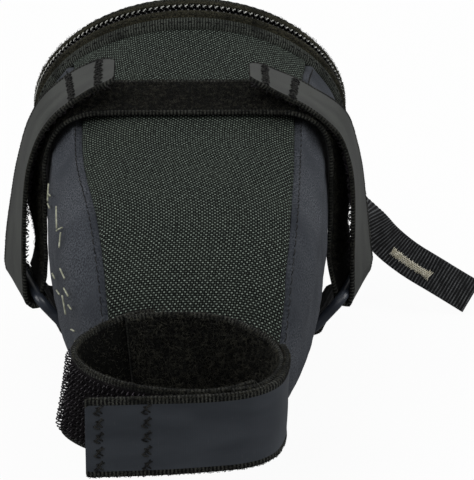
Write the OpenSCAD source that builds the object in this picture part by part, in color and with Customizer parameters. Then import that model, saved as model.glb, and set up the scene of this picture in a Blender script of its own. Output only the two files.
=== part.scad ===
// Bicycle saddle bag: wedge body with a zipped rear flap, two hook-and-loop rail
// straps on plastic rings, and one strap round the seatpost.
// Millimetres. X to the side, Y to the rear, Z up. The origin is on the top panel's
// centre line, under the middle of the rail strap.

/* [Body] */
// Full width of the body under the rail strap
body_w = 72.6; // [70:0.2:74]
// Height of the body under the rail strap
body_h = 71; // [68:0.5:73]
// Thickness of the woven outer panels
panel_t = 1; // [0.8:0.1:1]
// Thickness of the foam behind each panel
foam_t = 2; // [1.5:0.1:2]
// Thickness of the lining
lining_t = 0.5; // [0.4:0.1:0.5]

/* [Zipper] */
// Radius of the zipper's round path
zip_r = 42.3; // [42:0.1:42.8]
// Lean of the zipper's plane from upright, degrees
zip_lean = 24.5; // [23:0.5:26]
// Width of one coil row
coil_w = 1.55; // [1.3:0.05:1.6]
// Angle below the horizontal at which the zipper ends, degrees
zip_end = 36; // [34:1:38]
// Angle below the horizontal at which the closed slider stands, degrees
slider_at = 26; // [24:1:28]
// Length of the woven pull ribbon's metal link
link_len = 16; // [14:1:18]
// Width of the pull ribbon
ribbon_w = 10; // [8:1:11]

/* [Rail straps] */
// Width of the rail straps
strap_w = 20; // [18:1:21]
// Thickness of the loop-pile strap
pile_t = 1.2; // [1:0.1:1.2]
// Half the spacing of the saddle rails
rail_x = 22; // [21:0.5:22.5]
// Diameter of a saddle rail
rail_d = 7; // [6.5:0.5:7]
// Radius of the plastic rings' bars
bar_r = 1.5; // [1.3:0.1:1.5]

/* [Seatpost strap] */
// Diameter of the seatpost the loop is set to
post_d = 31.6; // [30.9:0.1:31.6]
// Width of the seatpost strap
post_w = 20; // [18:0.5:21]
// Height of the seatpost strap's top edge
post_top = -12.9; // [-13.5:0.1:-12.5]

/* [Hidden] */
$fn = 64;

// Air left between pieces that only lie against each other
gap = 0.1;
// Air left at a running fit
running = 0.06;
woven_black = [0.16, 0.17, 0.17];
side_grey = [0.24, 0.26, 0.29];
web_black = [0.1, 0.1, 0.11];
pile_black = [0.14, 0.14, 0.11];
hook_black = [0.17, 0.16, 0.17];
coated_grey = [0.26, 0.27, 0.29];
foam_grey = [0.45, 0.46, 0.48];
lining_grey = [0.33, 0.35, 0.38];
tape_olive = [0.13, 0.13, 0.1];
ring_grey = [0.2, 0.22, 0.26];
metal = [0.35, 0.36, 0.38];
thread_cream = [0.75, 0.73, 0.65];

// ---- Zipper frame: X to the side, Y down the leaning plane, Z to the rear ----

zip_centre = [0, 66.3, -33.8];
zip_edge = 6.3;
edge_r = zip_r - 0.7;

function from_zip(p) = [
    p[0],
    zip_centre[1] + p[1] * sin(zip_lean) + p[2] * cos(zip_lean),
    zip_centre[2] - p[1] * cos(zip_lean) + p[2] * sin(zip_lean)
];

module zip_frame() {
    translate(zip_centre) rotate([zip_lean - 90, 0, 0]) children();
}

// ---- Body shape: stations from the nose edge to the rear edge ----

rear_top = from_zip([0, -edge_r, -zip_edge]);
rear_low = from_zip([0, edge_r, -zip_edge]);
// [y, z] of the top line and of the bottom line at each station
top_line = [[-103, -44.5], [-102.3, -38], [-99, -28], [-91.4, -17.3], [-80, -8.3],
    [-60, -1.6], [-30, 0], [0, 0], [22, 0.2], [rear_top[1], rear_top[2]]];
low_line = [[-100.5, -50.5], [-96, -52.5], [-89, -54.5], [-78, -57], [-66, -60],
    [-48, -63.5], [-24, -67.5], [5, -body_h], [40, -73.5], [rear_low[1], rear_low[2]]];
// Half width, squareness of the upper and lower half, and the two seams' angles
half_w = [12, 19.5, 22.5, 24.5, 28.5, 32.3, 35, body_w / 2, 39.3, edge_r];
square_top = [2.6, 2.8, 2.9, 3, 3.5, 4, 4.3, 4.5, 3.2, 2];
square_low = [2.4, 2.4, 2.4, 2.4, 2.4, 2.4, 2.4, 2.4, 2.2, 2];
tuck = [0.2, 0.2, 0.2, 0.2, 0.2, 0.2, 0.2, 0.18, 0.1, 0];
top_seam = [70, 64, 60, 58, 45.5, 38, 34.3, 34, 40.7, 50.3];
low_seam = 140;
last = len(top_line) - 1;
steps = 2 * last;
seam_gap = 0.4;

function at(list, i) = list[max(0, min(len(list) - 1, i))];

// Smooth curve through the listed values, at station k
function smooth(list, k) = let(
        i = min(floor(k), last - 1),
        t = k - i,
        a = at(list, i - 1),
        b = at(list, i),
        c = at(list, i + 1),
        d = at(list, i + 2)
    ) 0.5 * (2 * b + (c - a) * t + (2 * a - 5 * b + 4 * c - d) * t * t
        + (3 * b - a - 3 * c + d) * t * t * t);

function power(v, n) = sign(v) * pow(abs(v), 2 / n);

// Point on the body at station k, angle a from the top line, and depth d under the skin
function skin(k, a, d) = let(
        top = smooth(top_line, k),
        low = smooth(low_line, k),
        half_h = norm(top - low) / 2,
        up = (top - low) / (2 * half_h),
        mid = (top + low) / 2,
        n = abs(a) <= 90 ? smooth(square_top, k) : smooth(square_low, k),
        narrow = abs(a) <= 90 ? 1 : 1 - smooth(tuck, k) * pow(sin(abs(a) - 90), 2),
        x = (smooth(half_w, k) - d) * power(sin(a), n) * narrow,
        h = (half_h - d) * power(cos(a), n)
    ) [x, mid[0] + up[0] * h, mid[1] + up[1] * h];

// Closed solid between two grids of points, row by row
module sheet(outer, inner) {
    rows = len(outer);
    cols = len(outer[0]);
    count = rows * cols;
    points = concat([for (row = outer) for (p = row) p], [for (row = inner) for (p = row) p]);
    faces = concat(
        [for (i = [0 : rows - 2]) for (j = [0 : cols - 2]) let(q = i * cols + j)
            [q, q + 1, q + cols + 1, q + cols]],
        [for (i = [0 : rows - 2]) for (j = [0 : cols - 2]) let(q = count + i * cols + j)
            [q, q + cols, q + cols + 1, q + 1]],
        [for (i = [0 : rows - 2]) let(q = i * cols)
            [q, q + cols, q + cols + count, q + count]],
        [for (i = [0 : rows - 2]) let(q = i * cols + cols - 1)
            [q, q + count, q + cols + count, q + cols]],
        [for (j = [0 : cols - 2]) [j, j + count, j + 1 + count, j + 1]],
        [for (j = [0 : cols - 2]) let(q = (rows - 1) * cols + j)
            [q, q + 1, q + 1 + count, q + count]]
    );
    polyhedron(points = points, faces = faces, convexity = 6);
}

// One panel of the body, between two seams, d0 to d1 under the skin
function panel_grid(from, to, cuts, d, first) = [
    for (i = [first : steps]) let(k = i / 2)
        [for (j = [0 : cuts]) skin(k, (1 - j / cuts) * from[i] + j / cuts * to[i], d)]
];

function seam_line(side, shift) = [
    for (i = [0 : steps]) let(k = i / 2) side * (smooth(top_seam, k) + shift)
];

function flat_line(angle) = [for (i = [0 : steps]) angle];

module body_panel(from, to, cuts, d0, d1, first) {
    sheet(panel_grid(from, to, cuts, d0, first), panel_grid(from, to, cuts, d1, first));
}

module top_layer(d0, d1, first = 0) {
    body_panel(seam_line(-1, -seam_gap), seam_line(1, -seam_gap), 10, d0, d1, first);
}

module right_layer(d0, d1, first = 0) {
    body_panel(seam_line(1, seam_gap), flat_line(low_seam - seam_gap), 10, d0, d1, first);
}

module bottom_layer(d0, d1, first = 0) {
    body_panel(flat_line(low_seam + seam_gap), flat_line(360 - low_seam - seam_gap), 6, d0, d1,
        first);
}

foam_at = panel_t + gap;
lining_at = foam_at + foam_t + 0.35;
// The foam and the lining stop short of the nose's tip
inner_first = 2;

module top_panel() {
    color(woven_black) top_layer(0, panel_t);
}

module side_panel_right() {
    color(side_grey) right_layer(0, panel_t);
}

module side_panel_left() {
    color(side_grey) mirror([1, 0, 0]) right_layer(0, panel_t);
}

module bottom_panel() {
    color(woven_black) bottom_layer(0, panel_t);
}

module foam_top() {
    color(foam_grey) top_layer(foam_at, foam_at + foam_t, inner_first);
}

module foam_right() {
    color(foam_grey) right_layer(foam_at, foam_at + foam_t, inner_first);
}

module foam_left() {
    color(foam_grey) mirror([1, 0, 0]) right_layer(foam_at, foam_at + foam_t, inner_first);
}

module foam_bottom() {
    color(foam_grey) bottom_layer(foam_at, foam_at + foam_t, inner_first);
}

// The lining is one sock, open at the rear, with a slit along its keel
module lining() {
    color(lining_grey)
        body_panel(flat_line(-179), flat_line(179), 28, lining_at, lining_at + lining_t,
            inner_first);
}

// ---- Zipper ----

row_at = 0.35;
coil_r = zip_r - 0.85;
coil_h = 1.7;
tape_t = 0.55;
tape_r = coil_r - gap - tape_t;
binding_at = 3.4;
binding_h = 0.85;
zip_span = 180 + 2 * zip_end;
// Rear edge of the flap's tape, and where the rear panel's dome starts
flap_edge = 3.4;
dome_z = 5;
dome_h = 6;
flap_cut = 26.3;
sill_cut = 27.3;

// Band round the zipper's axis, from radius r, h thick, between z0 and z1
module zip_band(r, h, z0, z1, start, angle) {
    rotate([0, 0, start]) rotate_extrude(angle = angle, $fn = 96)
        translate([r, z0]) square([h, z1 - z0]);
}

module zip_arc(r, h, z0, z1) {
    zip_band(r, h, z0, z1, 180 - zip_end, zip_span);
}

module zip_tape_body() {
    color(tape_olive) zip_frame() zip_arc(tape_r, tape_t, gap - zip_edge, -row_at - 0.25);
}

module zip_coil_body() {
    color(web_black) zip_frame() zip_arc(coil_r, coil_h, -row_at - coil_w, -row_at);
}

module zip_binding_body() {
    color(woven_black) zip_frame() zip_arc(coil_r, binding_h, gap - zip_edge, -binding_at);
}

module zip_tape_flap() {
    color(tape_olive) zip_frame() zip_arc(tape_r, tape_t, row_at + 0.25, flap_edge - gap);
}

module zip_coil_flap() {
    color(web_black) zip_frame() zip_arc(coil_r, coil_h, row_at, row_at + coil_w);
}

module zip_binding_flap() {
    color(woven_black) zip_frame() zip_arc(tape_r - gap, binding_h, flap_edge, dome_z - gap);
}

// A crimped stop closes each end of the coil
module zip_stops() {
    stop_len = 2.4;
    color(metal) zip_frame() for (side = [0, 1]) mirror([side, 0, 0])
        rotate([0, 0, zip_end + 2.2])
            translate([coil_r, -stop_len / 2, -1.6]) cube([2, stop_len, 3.2]);
}

// Outline of the rear's shallow dome, d under its skin
function dome_line(d) = [
    [0, dome_z + dome_h - d],
    [26, dome_z + 0.93 * dome_h - d],
    [34, dome_z + 0.65 * dome_h - 0.95 * d],
    [edge_r - 3.3 - 0.7 * d, dome_z + 0.33 * dome_h - 0.75 * d],
    [edge_r - 0.7 - d, dome_z]
];

module dome(d0, d1) {
    inner = dome_line(d1);
    rotate_extrude($fn = 96)
        polygon(concat(dome_line(d0), [for (i = [len(inner) - 1 : -1 : 0]) inner[i]]));
}

// Keeps what lies above the fold line of the rear (y below the cut) or under it
module above_fold() {
    intersection() {
        children();
        translate([-60, -60, -10]) cube([120, 60 + flap_cut, 40]);
    }
}

module under_fold() {
    intersection() {
        children();
        translate([-60, sill_cut, -10]) cube([120, 60, 40]);
    }
}

module rear_panel() {
    color(side_grey) zip_frame() above_fold() dome(0, panel_t);
}

module rear_foam() {
    color(foam_grey) zip_frame() above_fold() dome(foam_at, foam_at + 0.6 * foam_t);
}

module rear_lining() {
    color(lining_grey) zip_frame() above_fold()
        translate([0, 0, dome_z - gap - lining_t]) cylinder(r = tape_r - 1, h = lining_t, $fn = 96);
}

// Lower rear: the panel's sewn part and the gusset that joins it to the bottom
module rear_sill() {
    inner = dome_line(panel_t);
    shoulder = dome_z - 1.2;
    wall = [[edge_r, shoulder], [edge_r, gap - zip_edge], [tape_r, gap - zip_edge],
        [tape_r, shoulder]];
    color(side_grey) zip_frame() under_fold() rotate_extrude($fn = 96)
        polygon(concat(dome_line(0), wall, [for (i = [len(inner) - 1 : -1 : 0]) inner[i]]));
}

// Webbing sewn at both ends, bowed in the middle for a lamp's clip
module light_loop() {
    loop_w = 20;
    half = 21;
    rise = 3.2;
    t = 1.1;
    base = dome_z + dome_h + gap;
    color(web_black) zip_frame() translate([0, -4, 0]) rotate([90, 0, 0])
        linear_extrude(loop_w, center = true) polygon([
            [-half, base], [-half * 0.6, base], [-half * 0.45, base + rise],
            [half * 0.45, base + rise], [half * 0.6, base], [half, base],
            [half, base + t], [half * 0.66, base + t], [half * 0.5, base + rise + t],
            [-half * 0.5, base + rise + t], [-half * 0.66, base + t], [-half, base + t]
        ]);
}

// ---- Slider and pull ----

wing_len = 10;
wing_w = 6.4;
bail_at = zip_r + 4.7;
bail_r = 0.8;
link_turn = 49;

module slider_frame() {
    zip_frame() rotate([0, 0, slider_at]) children();
}

// Wing above the coil, wing under the tape, the post between them and the bail on top
module zip_slider() {
    wing_in = tape_r - 1.7;
    wing_out = coil_r + coil_h + 0.5;
    lug_w = 0.8;
    lug_at = 1.6;
    color(metal) slider_frame() {
        translate([wing_in, -wing_len / 2, -wing_w / 2]) cube([0.9, wing_len, wing_w]);
        translate([wing_out, -wing_len / 2, -wing_w / 2]) cube([1.2, wing_len, wing_w]);
        translate([wing_in + 0.5, 2.6, -0.25]) cube([wing_out - wing_in, 1.8, 0.5]);
        for (side = [-1, 1])
            translate([wing_out + 0.8, -1.5, side * (lug_at + lug_w / 2) - lug_w / 2])
                cube([bail_at - wing_out + 0.2, 3, lug_w]);
        translate([bail_at, 0, -lug_at - lug_w / 2]) cylinder(r = bail_r, h = 2 * lug_at + lug_w);
    }
}

module pull_frame() {
    slider_frame() translate([bail_at, 0, 0]) rotate([0, 0, link_turn]) children();
}

// Flat link with a bore at the bail and a slot that holds the ribbon
module pull_link() {
    eye_r = 1.9;
    eye_w = 2.6;
    slot_at = link_len - 3;
    color(metal) pull_frame() difference() {
        union() {
            translate([0, 0, -eye_w / 2]) cylinder(r = eye_r, h = eye_w);
            translate([1, -0.8, -eye_w / 2]) cube([slot_at - 1, 1.6, eye_w]);
            translate([slot_at - 1, -0.8, -6.6]) cube([5, 1.6, 13.2]);
        }
        translate([0, 0, -eye_w]) cylinder(r = bail_r + running, h = 2 * eye_w);
        translate([slot_at + 0.4, -2, -ribbon_w / 2 - 0.4]) cube([2, 4, ribbon_w + 0.8]);
    }
}

// The ribbon's centre line in the body's frame, the lean of its width and its thickness
ribbon_t = 1.2;
ribbon_path = [[47.05, 82.1, -68.6], [47.8, 83.2, -71.3], [50.8, 82, -75.6], [55.4, 76.8, -79.6],
    [61.6, 71.4, -82.8], [70, 68.4, -87.2], [79.6, 65.6, -92.4]];
ribbon_lean = [[0, 0.91, 0.41], [0.1, 0.88, 0.43], [0.35, 0.75, 0.5], [0.45, 0.6, 0.62],
    [0.5, 0.44, 0.75], [0.52, 0.37, 0.77], [0.52, 0.37, 0.77]];

function unit(v) = v / norm(v);

function ribbon_along(i) =
    unit(ribbon_path[min(len(ribbon_path) - 1, i + 1)] - ribbon_path[max(0, i - 1)]);

// Direction across the ribbon at its point i, square to its length
function ribbon_across(i) = let(a = ribbon_along(i), lean = ribbon_lean[i])
    unit(lean - (lean * a) * a);

// Direction out of the ribbon's face at its point i
function ribbon_face(i) = cross(ribbon_along(i), ribbon_across(i));

// Point on the ribbon between its points i and i + 1, v across and h over its middle
function ribbon_at(i, t, v, h) = let(
        j = min(i + 1, len(ribbon_path) - 1),
        p = ribbon_path[i] + ribbon_across(i) * v + ribbon_face(i) * h,
        q = ribbon_path[j] + ribbon_across(j) * v + ribbon_face(j) * h
    ) p * (1 - t) + q * t;

function ribbon_side(h) = [
    for (i = [0 : len(ribbon_path) - 1]) [for (j = [-0.5, 0.5]) ribbon_at(i, 0, j * ribbon_w, h)]
];

module pull_ribbon() {
    color(web_black) sheet(ribbon_side(-ribbon_t / 2), ribbon_side(ribbon_t / 2));
}

// Lengthwise bar tack on the front face, closing the folded ribbon
module ribbon_tack() {
    tack_w = 1.8;
    low = ribbon_t / 2 + 0.2;
    color(thread_cream) sheet(
        [for (t = [0.1, 0.9]) [for (v = [-0.5, 0.5]) ribbon_at(4, t, v * tack_w, low)]],
        [for (t = [0.1, 0.9]) [for (v = [-0.5, 0.5]) ribbon_at(4, t, v * tack_w, low + 0.6)]]
    );
}

// ---- Rail straps: centre lines in the XZ plane, drawn for the right side ----

strip_end = 17;
outer_bar = [42.9, -52];
lower_bar = [35.2, -61.2];
fold_in = bar_r + running;
fold_mid = fold_in + 0.75;

// Band of thickness t along a line of points, extruded to width w along Y
module band(line, t, w) {
    n = len(line) - 1;
    side = [for (i = [0 : n]) let(
            d = unit(line[min(n, i + 1)] - line[max(0, i - 1)])
        ) [-d[1], d[0]]];
    rotate([90, 0, 0]) linear_extrude(w, center = true) polygon(concat(
        [for (i = [0 : n]) line[i] + side[i] * t / 2],
        [for (i = [n : -1 : 0]) line[i] - side[i] * t / 2]
    ));
}

// Smooth line through the points, m pieces a stretch
function curve(points, m) = [
    for (i = [0 : len(points) - 2]) for (j = [0 : m - 1]) let(
            t = j / m, a = at(points, i - 1), b = points[i], c = points[i + 1], d = at(points, i + 2)
        ) 0.5 * (2 * b + (c - a) * t + (2 * a - 5 * b + 4 * c - d) * t * t
            + (3 * b - a - 3 * c + d) * t * t * t),
    points[len(points) - 1]
];

// Ring sector about a bar along Y, from angle a0 to a1, measured from +X towards +Z
module bar_wrap(bar, r0, r1, a0, a1, w) {
    translate([bar[0], 0, bar[1]]) rotate([90, -a0, 0])
        translate([0, 0, -w / 2]) rotate_extrude(angle = a1 - a0)
            translate([r0, 0]) square([r1 - r0, w]);
}

module rail_strap_centre() {
    color(pile_black) band([[-strip_end, strip_lift + pile_t / 2], [strip_end, strip_lift + pile_t / 2]],
        pile_t, strap_w);
}

// Inner band: from the strip's end over the shoulder and down to the ring
module inner_band() {
    start = strip_end + gap;
    line = [[start, strip_lift + pile_t / 2], [24, 0.8], [30.5, -0.6], [35, -4.6], [37.8, -10.5],
        [39.3, -19], [40.2, -30], [40.5, -41], [outer_bar[0] - fold_mid, outer_bar[1] + 0.3]];
    band(curve(line, 3), pile_t, strap_w);
}

module rail_strap_right() {
    color(pile_black) inner_band();
}

module rail_strap_left() {
    color(pile_black) mirror([1, 0, 0]) inner_band();
}

// Inner layer of the fold round the ring's outer bar
module fold() {
    bar_wrap(outer_bar, fold_in, fold_in + 0.7, 182, 262, strap_w);
}

module rail_fold_right() {
    color(pile_black) fold();
}

module rail_fold_left() {
    color(pile_black) mirror([1, 0, 0]) fold();
}

tail_out = outer_bar[0] + fold_in + 0.75 + 0.45;
web_t = 0.9;
hooks_t = 0.6;
strip_lift = 0.3;
// The tail's end stands a rail's thickness over the strip
tail_top = strip_lift + pile_t + rail_d + 0.25 + hooks_t + gap + web_t / 2;
tail_line = [[tail_out, outer_bar[1]], [46, -43], [45.3, -33], [44, -22], [42, -13],
    [39.1, -4.6], [35, 2.8], [rail_x + 8.8, tail_top - 2], [rail_x + 4.6, tail_top - 0.2],
    [rail_x, tail_top], [rail_x - rail_d / 2 - 0.1, tail_top]];

// Coated outer web of the tail, with its turn round the ring's outer bar
module tail() {
    turn_r = tail_out - outer_bar[0];
    turn = [for (a = [272 : 8 : 352]) outer_bar + turn_r * [cos(a), sin(a)]];
    band(concat(turn, curve(tail_line, 3)), web_t, strap_w);
}

// Hook layer on the tail's inner face, at its free end
module tail_hooks() {
    web = [for (i = [6 : len(tail_line) - 1]) tail_line[i]];
    n = len(web) - 1;
    shifted = [for (i = [0 : n]) let(
            d = unit(web[min(n, i + 1)] - web[max(0, i - 1)])
        ) web[i] + [-d[1], d[0]] * (web_t / 2 + gap + hooks_t / 2)];
    band(curve(shifted, 3), hooks_t, strap_w - 2);
}

module rail_tail_right() {
    color(coated_grey) tail();
}

module rail_tail_left() {
    color(coated_grey) mirror([1, 0, 0]) tail();
}

module rail_hooks_right() {
    color(hook_black) tail_hooks();
}

module rail_hooks_left() {
    color(hook_black) mirror([1, 0, 0]) tail_hooks();
}

// Plastic ring: two long bars along Y and two end bars, with round corners
module ring() {
    half = strap_w / 2 + 1.9;
    bars = [outer_bar, lower_bar];
    for (b = bars) {
        translate([b[0], half, b[1]]) rotate([90, 0, 0]) cylinder(r = bar_r, h = 2 * half);
        for (side = [-1, 1]) translate([b[0], side * half, b[1]]) sphere(r = bar_r, $fn = 32);
    }
    run = outer_bar - lower_bar;
    for (side = [-1, 1])
        translate([lower_bar[0], side * half, lower_bar[1]])
            rotate([0, atan2(run[0], run[1]), 0]) cylinder(r = bar_r, h = norm(run));
}

module ring_right() {
    color(ring_grey) ring();
}

module ring_left() {
    color(ring_grey) mirror([1, 0, 0]) ring();
}

// Webbing loop that holds the ring's lower bar, with its two layers sewn to the body
module anchor() {
    t = 0.9;
    r0 = bar_r + running;
    top = 144;
    from_top = lower_bar + (r0 + t / 2) * [cos(top), sin(top)];
    bar_wrap(lower_bar, r0, r0 + t, -94, top, strap_w);
    band([[lower_bar[0] - 0.1, lower_bar[1] - r0 - t / 2], [31.5, -64.4], [27.4, -65.6]], t, strap_w);
    band([from_top + [0.06, 0.08], from_top - [0.59, 0.81], [31.7, -62.6], [29.6, -64.5]], t, strap_w);
}

module ring_anchor_right() {
    color(web_black) anchor();
}

module ring_anchor_left() {
    color(web_black) mirror([1, 0, 0]) anchor();
}

// ---- Seatpost strap: plan view in XY, extruded along Z ----

post_r = post_d / 2;
post_at = [5.9, -103.5 - post_r];
hook_t = 1.2;
lap = 0.1;
left_at = -11.6;
far_left = -12;
pile_h = 0.7;
coat_h = 0.9;

module post_prism() {
    translate([0, 0, post_top - post_w]) linear_extrude(post_w) children();
}

// Ring sector in plan about a point, from angle a0 to a1, up to 180 degrees
module sector(centre, r0, r1, a0, a1) {
    reach = 2 * r1;
    mid = (a0 + a1) / 2;
    half = (a1 - a0) / 2;
    translate(centre) intersection() {
        difference() {
            circle(r = r1, $fn = 96);
            circle(r = r0, $fn = 96);
        }
        polygon([[0, 0], for (s = [-1, -0.5, 0, 0.5, 1])
            reach * [cos(mid + s * half), sin(mid + s * half)]]);
    }
}

// Static pile layer: across the nose and round the right of the seatpost
module post_strap_pile() {
    color(pile_black) post_prism() {
        translate([far_left, post_at[1] + post_r])
            square([post_at[0] - far_left, pile_h]);
        sector(post_at, post_r, post_r + pile_h, -82, 90);
    }
}

// Folded strap ends sewn to the nose: the wedge between the nose and the far wall
module post_strap_seat() {
    air = 0.5;
    front = post_at[1] + post_r + pile_h + gap;
    x0 = far_left;
    x1 = post_at[0];
    color(web_black) translate([(x0 + x1) / 2, 0, 0]) rotate([90, 0, 90])
        linear_extrude(x1 - x0, center = true) polygon([
            [front, post_top - post_w + 4],
            [-101.2 - air, -33.8],
            [-99.2 - air, -27.4],
            [-95.6 - air, -21.2],
            [-91.6 - air, post_top - 1],
            [-92.6 - air, post_top],
            [front, post_top]
        ]);
}

// Hook half: curls round the left side and lies inside the tail
module post_strap_hooks() {
    r1 = post_r - lap;
    r0 = r1 - hook_t;
    hooks_end = -1.2;
    centre = [left_at, post_at[1]];
    color(hook_black) post_prism() {
        sector(centre, r0, r1, 90, 180);
        sector(centre, r0, r1, 179.9, 270);
        translate([left_at - 0.01, post_at[1] - r1]) square([hooks_end - left_at, hook_t]);
        translate([left_at - 0.01, post_at[1] + r0]) square([hooks_end - left_at, hook_t]);
    }
}

tail_end = -25;
tail_turn = -18;

// Coated outer band with its turn round the right of the seatpost
module post_tail() {
    r0 = post_r + pile_h + lap;
    color(coated_grey) post_prism() {
        sector(post_at, r0, r0 + coat_h, -90.1, tail_turn);
        translate([tail_end, post_at[1] - r0 - coat_h])
            square([post_at[0] - tail_end, coat_h]);
    }
}

// Loop pile on the inner face of the coated band
module post_tail_pile() {
    pile_end = post_at[0] - 5.2;
    color(pile_black) post_prism()
        translate([tail_end + 0.6, post_at[1] - post_r - pile_h])
            square([pile_end - tail_end - 0.6, pile_h]);
}

top_panel();
side_panel_left();
side_panel_right();
bottom_panel();
foam_top();
foam_left();
foam_right();
foam_bottom();
lining();
rear_sill();
zip_binding_body();
zip_tape_body();
zip_coil_body();
zip_stops();
rail_strap_centre();
rail_strap_left();
rail_strap_right();
ring_anchor_left();
ring_anchor_right();
post_strap_seat();
post_strap_hooks();
post_strap_pile();
ring_left();
rail_fold_left();
ring_right();
rail_fold_right();
rail_tail_left();
rail_hooks_left();
rail_tail_right();
rail_hooks_right();
post_tail();
post_tail_pile();
rear_panel();
rear_foam();
rear_lining();
zip_binding_flap();
zip_tape_flap();
zip_coil_flap();
light_loop();
zip_slider();
pull_link();
pull_ribbon();
ribbon_tack();
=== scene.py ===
"""A bicycle saddle bag: its looks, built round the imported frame. Lengths in this script are millimetres."""

import math

import bmesh
import bpy
import numpy as np
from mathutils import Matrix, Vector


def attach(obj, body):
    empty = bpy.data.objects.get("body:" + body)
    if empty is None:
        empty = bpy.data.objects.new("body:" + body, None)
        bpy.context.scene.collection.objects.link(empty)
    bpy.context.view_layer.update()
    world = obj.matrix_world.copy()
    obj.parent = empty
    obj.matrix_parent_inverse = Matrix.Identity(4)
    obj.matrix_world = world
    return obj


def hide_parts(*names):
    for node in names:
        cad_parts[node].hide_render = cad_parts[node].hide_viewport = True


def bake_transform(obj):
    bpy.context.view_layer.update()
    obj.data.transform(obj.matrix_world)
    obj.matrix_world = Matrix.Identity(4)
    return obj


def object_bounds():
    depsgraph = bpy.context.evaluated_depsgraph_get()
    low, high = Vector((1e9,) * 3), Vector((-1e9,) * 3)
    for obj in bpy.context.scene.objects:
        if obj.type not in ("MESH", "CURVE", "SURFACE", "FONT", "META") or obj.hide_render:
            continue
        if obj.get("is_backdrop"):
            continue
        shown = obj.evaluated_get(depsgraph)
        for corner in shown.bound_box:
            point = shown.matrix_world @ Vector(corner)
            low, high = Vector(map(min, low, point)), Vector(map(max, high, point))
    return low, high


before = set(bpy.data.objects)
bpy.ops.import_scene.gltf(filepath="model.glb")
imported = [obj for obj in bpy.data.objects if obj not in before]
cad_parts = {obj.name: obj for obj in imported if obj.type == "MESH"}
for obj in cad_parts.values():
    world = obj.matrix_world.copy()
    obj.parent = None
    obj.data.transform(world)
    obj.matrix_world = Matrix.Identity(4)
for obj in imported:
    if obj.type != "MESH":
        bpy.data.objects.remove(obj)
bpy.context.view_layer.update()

MM = 0.001
rng = np.random.default_rng(11)

# ---- The object's plan ----

ZIP_CENTRE = np.array([0, 66.3, -33.8])
ZIP_LEAN = math.radians(24.5)
ZIP_R = 42.3
ZIP_END = 36
SLIDER_AT = 26
FOLD_AT = 26.8

# The body's top and bottom lines (y, z), half width, squareness and seam angle at each station
TOP_LINE = [(-103, -44.5), (-102.3, -38), (-99, -28), (-91.4, -17.3), (-80, -8.3), (-60, -1.6), (-30, 0),
            (0, 0), (22, 0.2), (43.32, 1.44)]
LOW_LINE = [(-100.5, -50.5), (-96, -52.5), (-89, -54.5), (-78, -57), (-66, -60), (-48, -63.5), (-24, -67.5),
            (5, -71), (40, -73.5), (77.82, -74.27)]
HALF_W = [12, 19.5, 22.5, 24.5, 28.5, 32.3, 35, 36.3, 39.3, 41.6]
SQUARE_TOP = [2.6, 2.8, 2.9, 3, 3.5, 4, 4.3, 4.5, 3.2, 2]
SQUARE_LOW = [2.4, 2.4, 2.4, 2.4, 2.4, 2.4, 2.4, 2.4, 2.2, 2]
TUCK = [0.2, 0.2, 0.2, 0.2, 0.2, 0.2, 0.2, 0.18, 0.1, 0]
TOP_SEAM = {1: [70, 64, 60, 58, 45.5, 38, 34.3, 34, 40.7, 50.3],
            -1: [70, 64, 57.5, 50, 36.5, 30.5, 34, 34, 40.7, 50.3]}
LEFT_FULLER = [0, -0.3, -0.6, -0.5, 0.4, 1.4, 1.6, 1.2, 0.4, 0]
LOW_SEAM = 140
PANEL_T = 0.8

STRAP_W = 20
OUTER_BAR = np.array([42.9, -52])
LOWER_BAR = np.array([35.2, -61.2])
BAR_R = 1.5

POST_TOP = -12.9
POST_W = 20


# ---- Vectors and curves ----

def unit(v):
    v = np.asarray(v, float)
    return v / np.maximum(np.linalg.norm(v, axis=-1, keepdims=True), 1e-9)


def spline(points, count=8):
    """Smooth curve through the listed points, count pieces a stretch."""
    p = np.asarray(points, float)
    padded = np.vstack([p[:1], p, p[-1:]])
    t = np.linspace(0, 1, count, endpoint=False)[:, None]
    rows = []
    for i in range(len(p) - 1):
        a, b, c, d = padded[i:i + 4]
        rows.append(0.5 * (2 * b + (c - a) * t + (2 * a - 5 * b + 4 * c - d) * t**2
                           + (3 * b - a - 3 * c + d) * t**3))
    return np.vstack(rows + [p[-1:]])


def lengths(points):
    """Distance along a line at each of its points."""
    return np.concatenate([[0], np.cumsum(np.linalg.norm(np.diff(points, axis=0), axis=1))])


def even(points, step):
    """The same line with evenly spaced points."""
    p = np.asarray(points, float)
    s = lengths(p[:, :3])
    at = np.linspace(0, s[-1], max(3, int(round(s[-1] / step)) + 1))
    return np.stack([np.interp(at, s, p[:, i]) for i in range(p.shape[1])], 1)


def arc(centre, r, start, end, count=16):
    """Points on an arc in a plane, angles in degrees."""
    a = np.radians(np.linspace(start, end, count))
    return np.stack([centre[0] + r * np.cos(a), centre[1] + r * np.sin(a)], 1)


def station(values, k):
    """Smooth value at station k of a list with one value a station."""
    v = np.asarray(values, float)
    i = np.clip(np.floor(k).astype(int), 0, len(v) - 2)
    t = k - i
    a, b, c, d = (v[np.clip(i + j, 0, len(v) - 1)] for j in (-1, 0, 1, 2))
    if v.ndim > 1:
        t = t[..., None]
    return 0.5 * (2 * b + (c - a) * t + (2 * a - 5 * b + 4 * c - d) * t**2 + (3 * b - a - 3 * c + d) * t**3)


def from_zip(p):
    """Points of the zipper's leaning frame (side, down, rear) in the object's frame."""
    p = np.asarray(p, float)
    x, down, rear = p[..., 0], p[..., 1], p[..., 2]
    return np.stack([x, ZIP_CENTRE[1] + down * math.sin(ZIP_LEAN) + rear * math.cos(ZIP_LEAN),
                     ZIP_CENTRE[2] - down * math.cos(ZIP_LEAN) + rear * math.sin(ZIP_LEAN)], -1)


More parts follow.
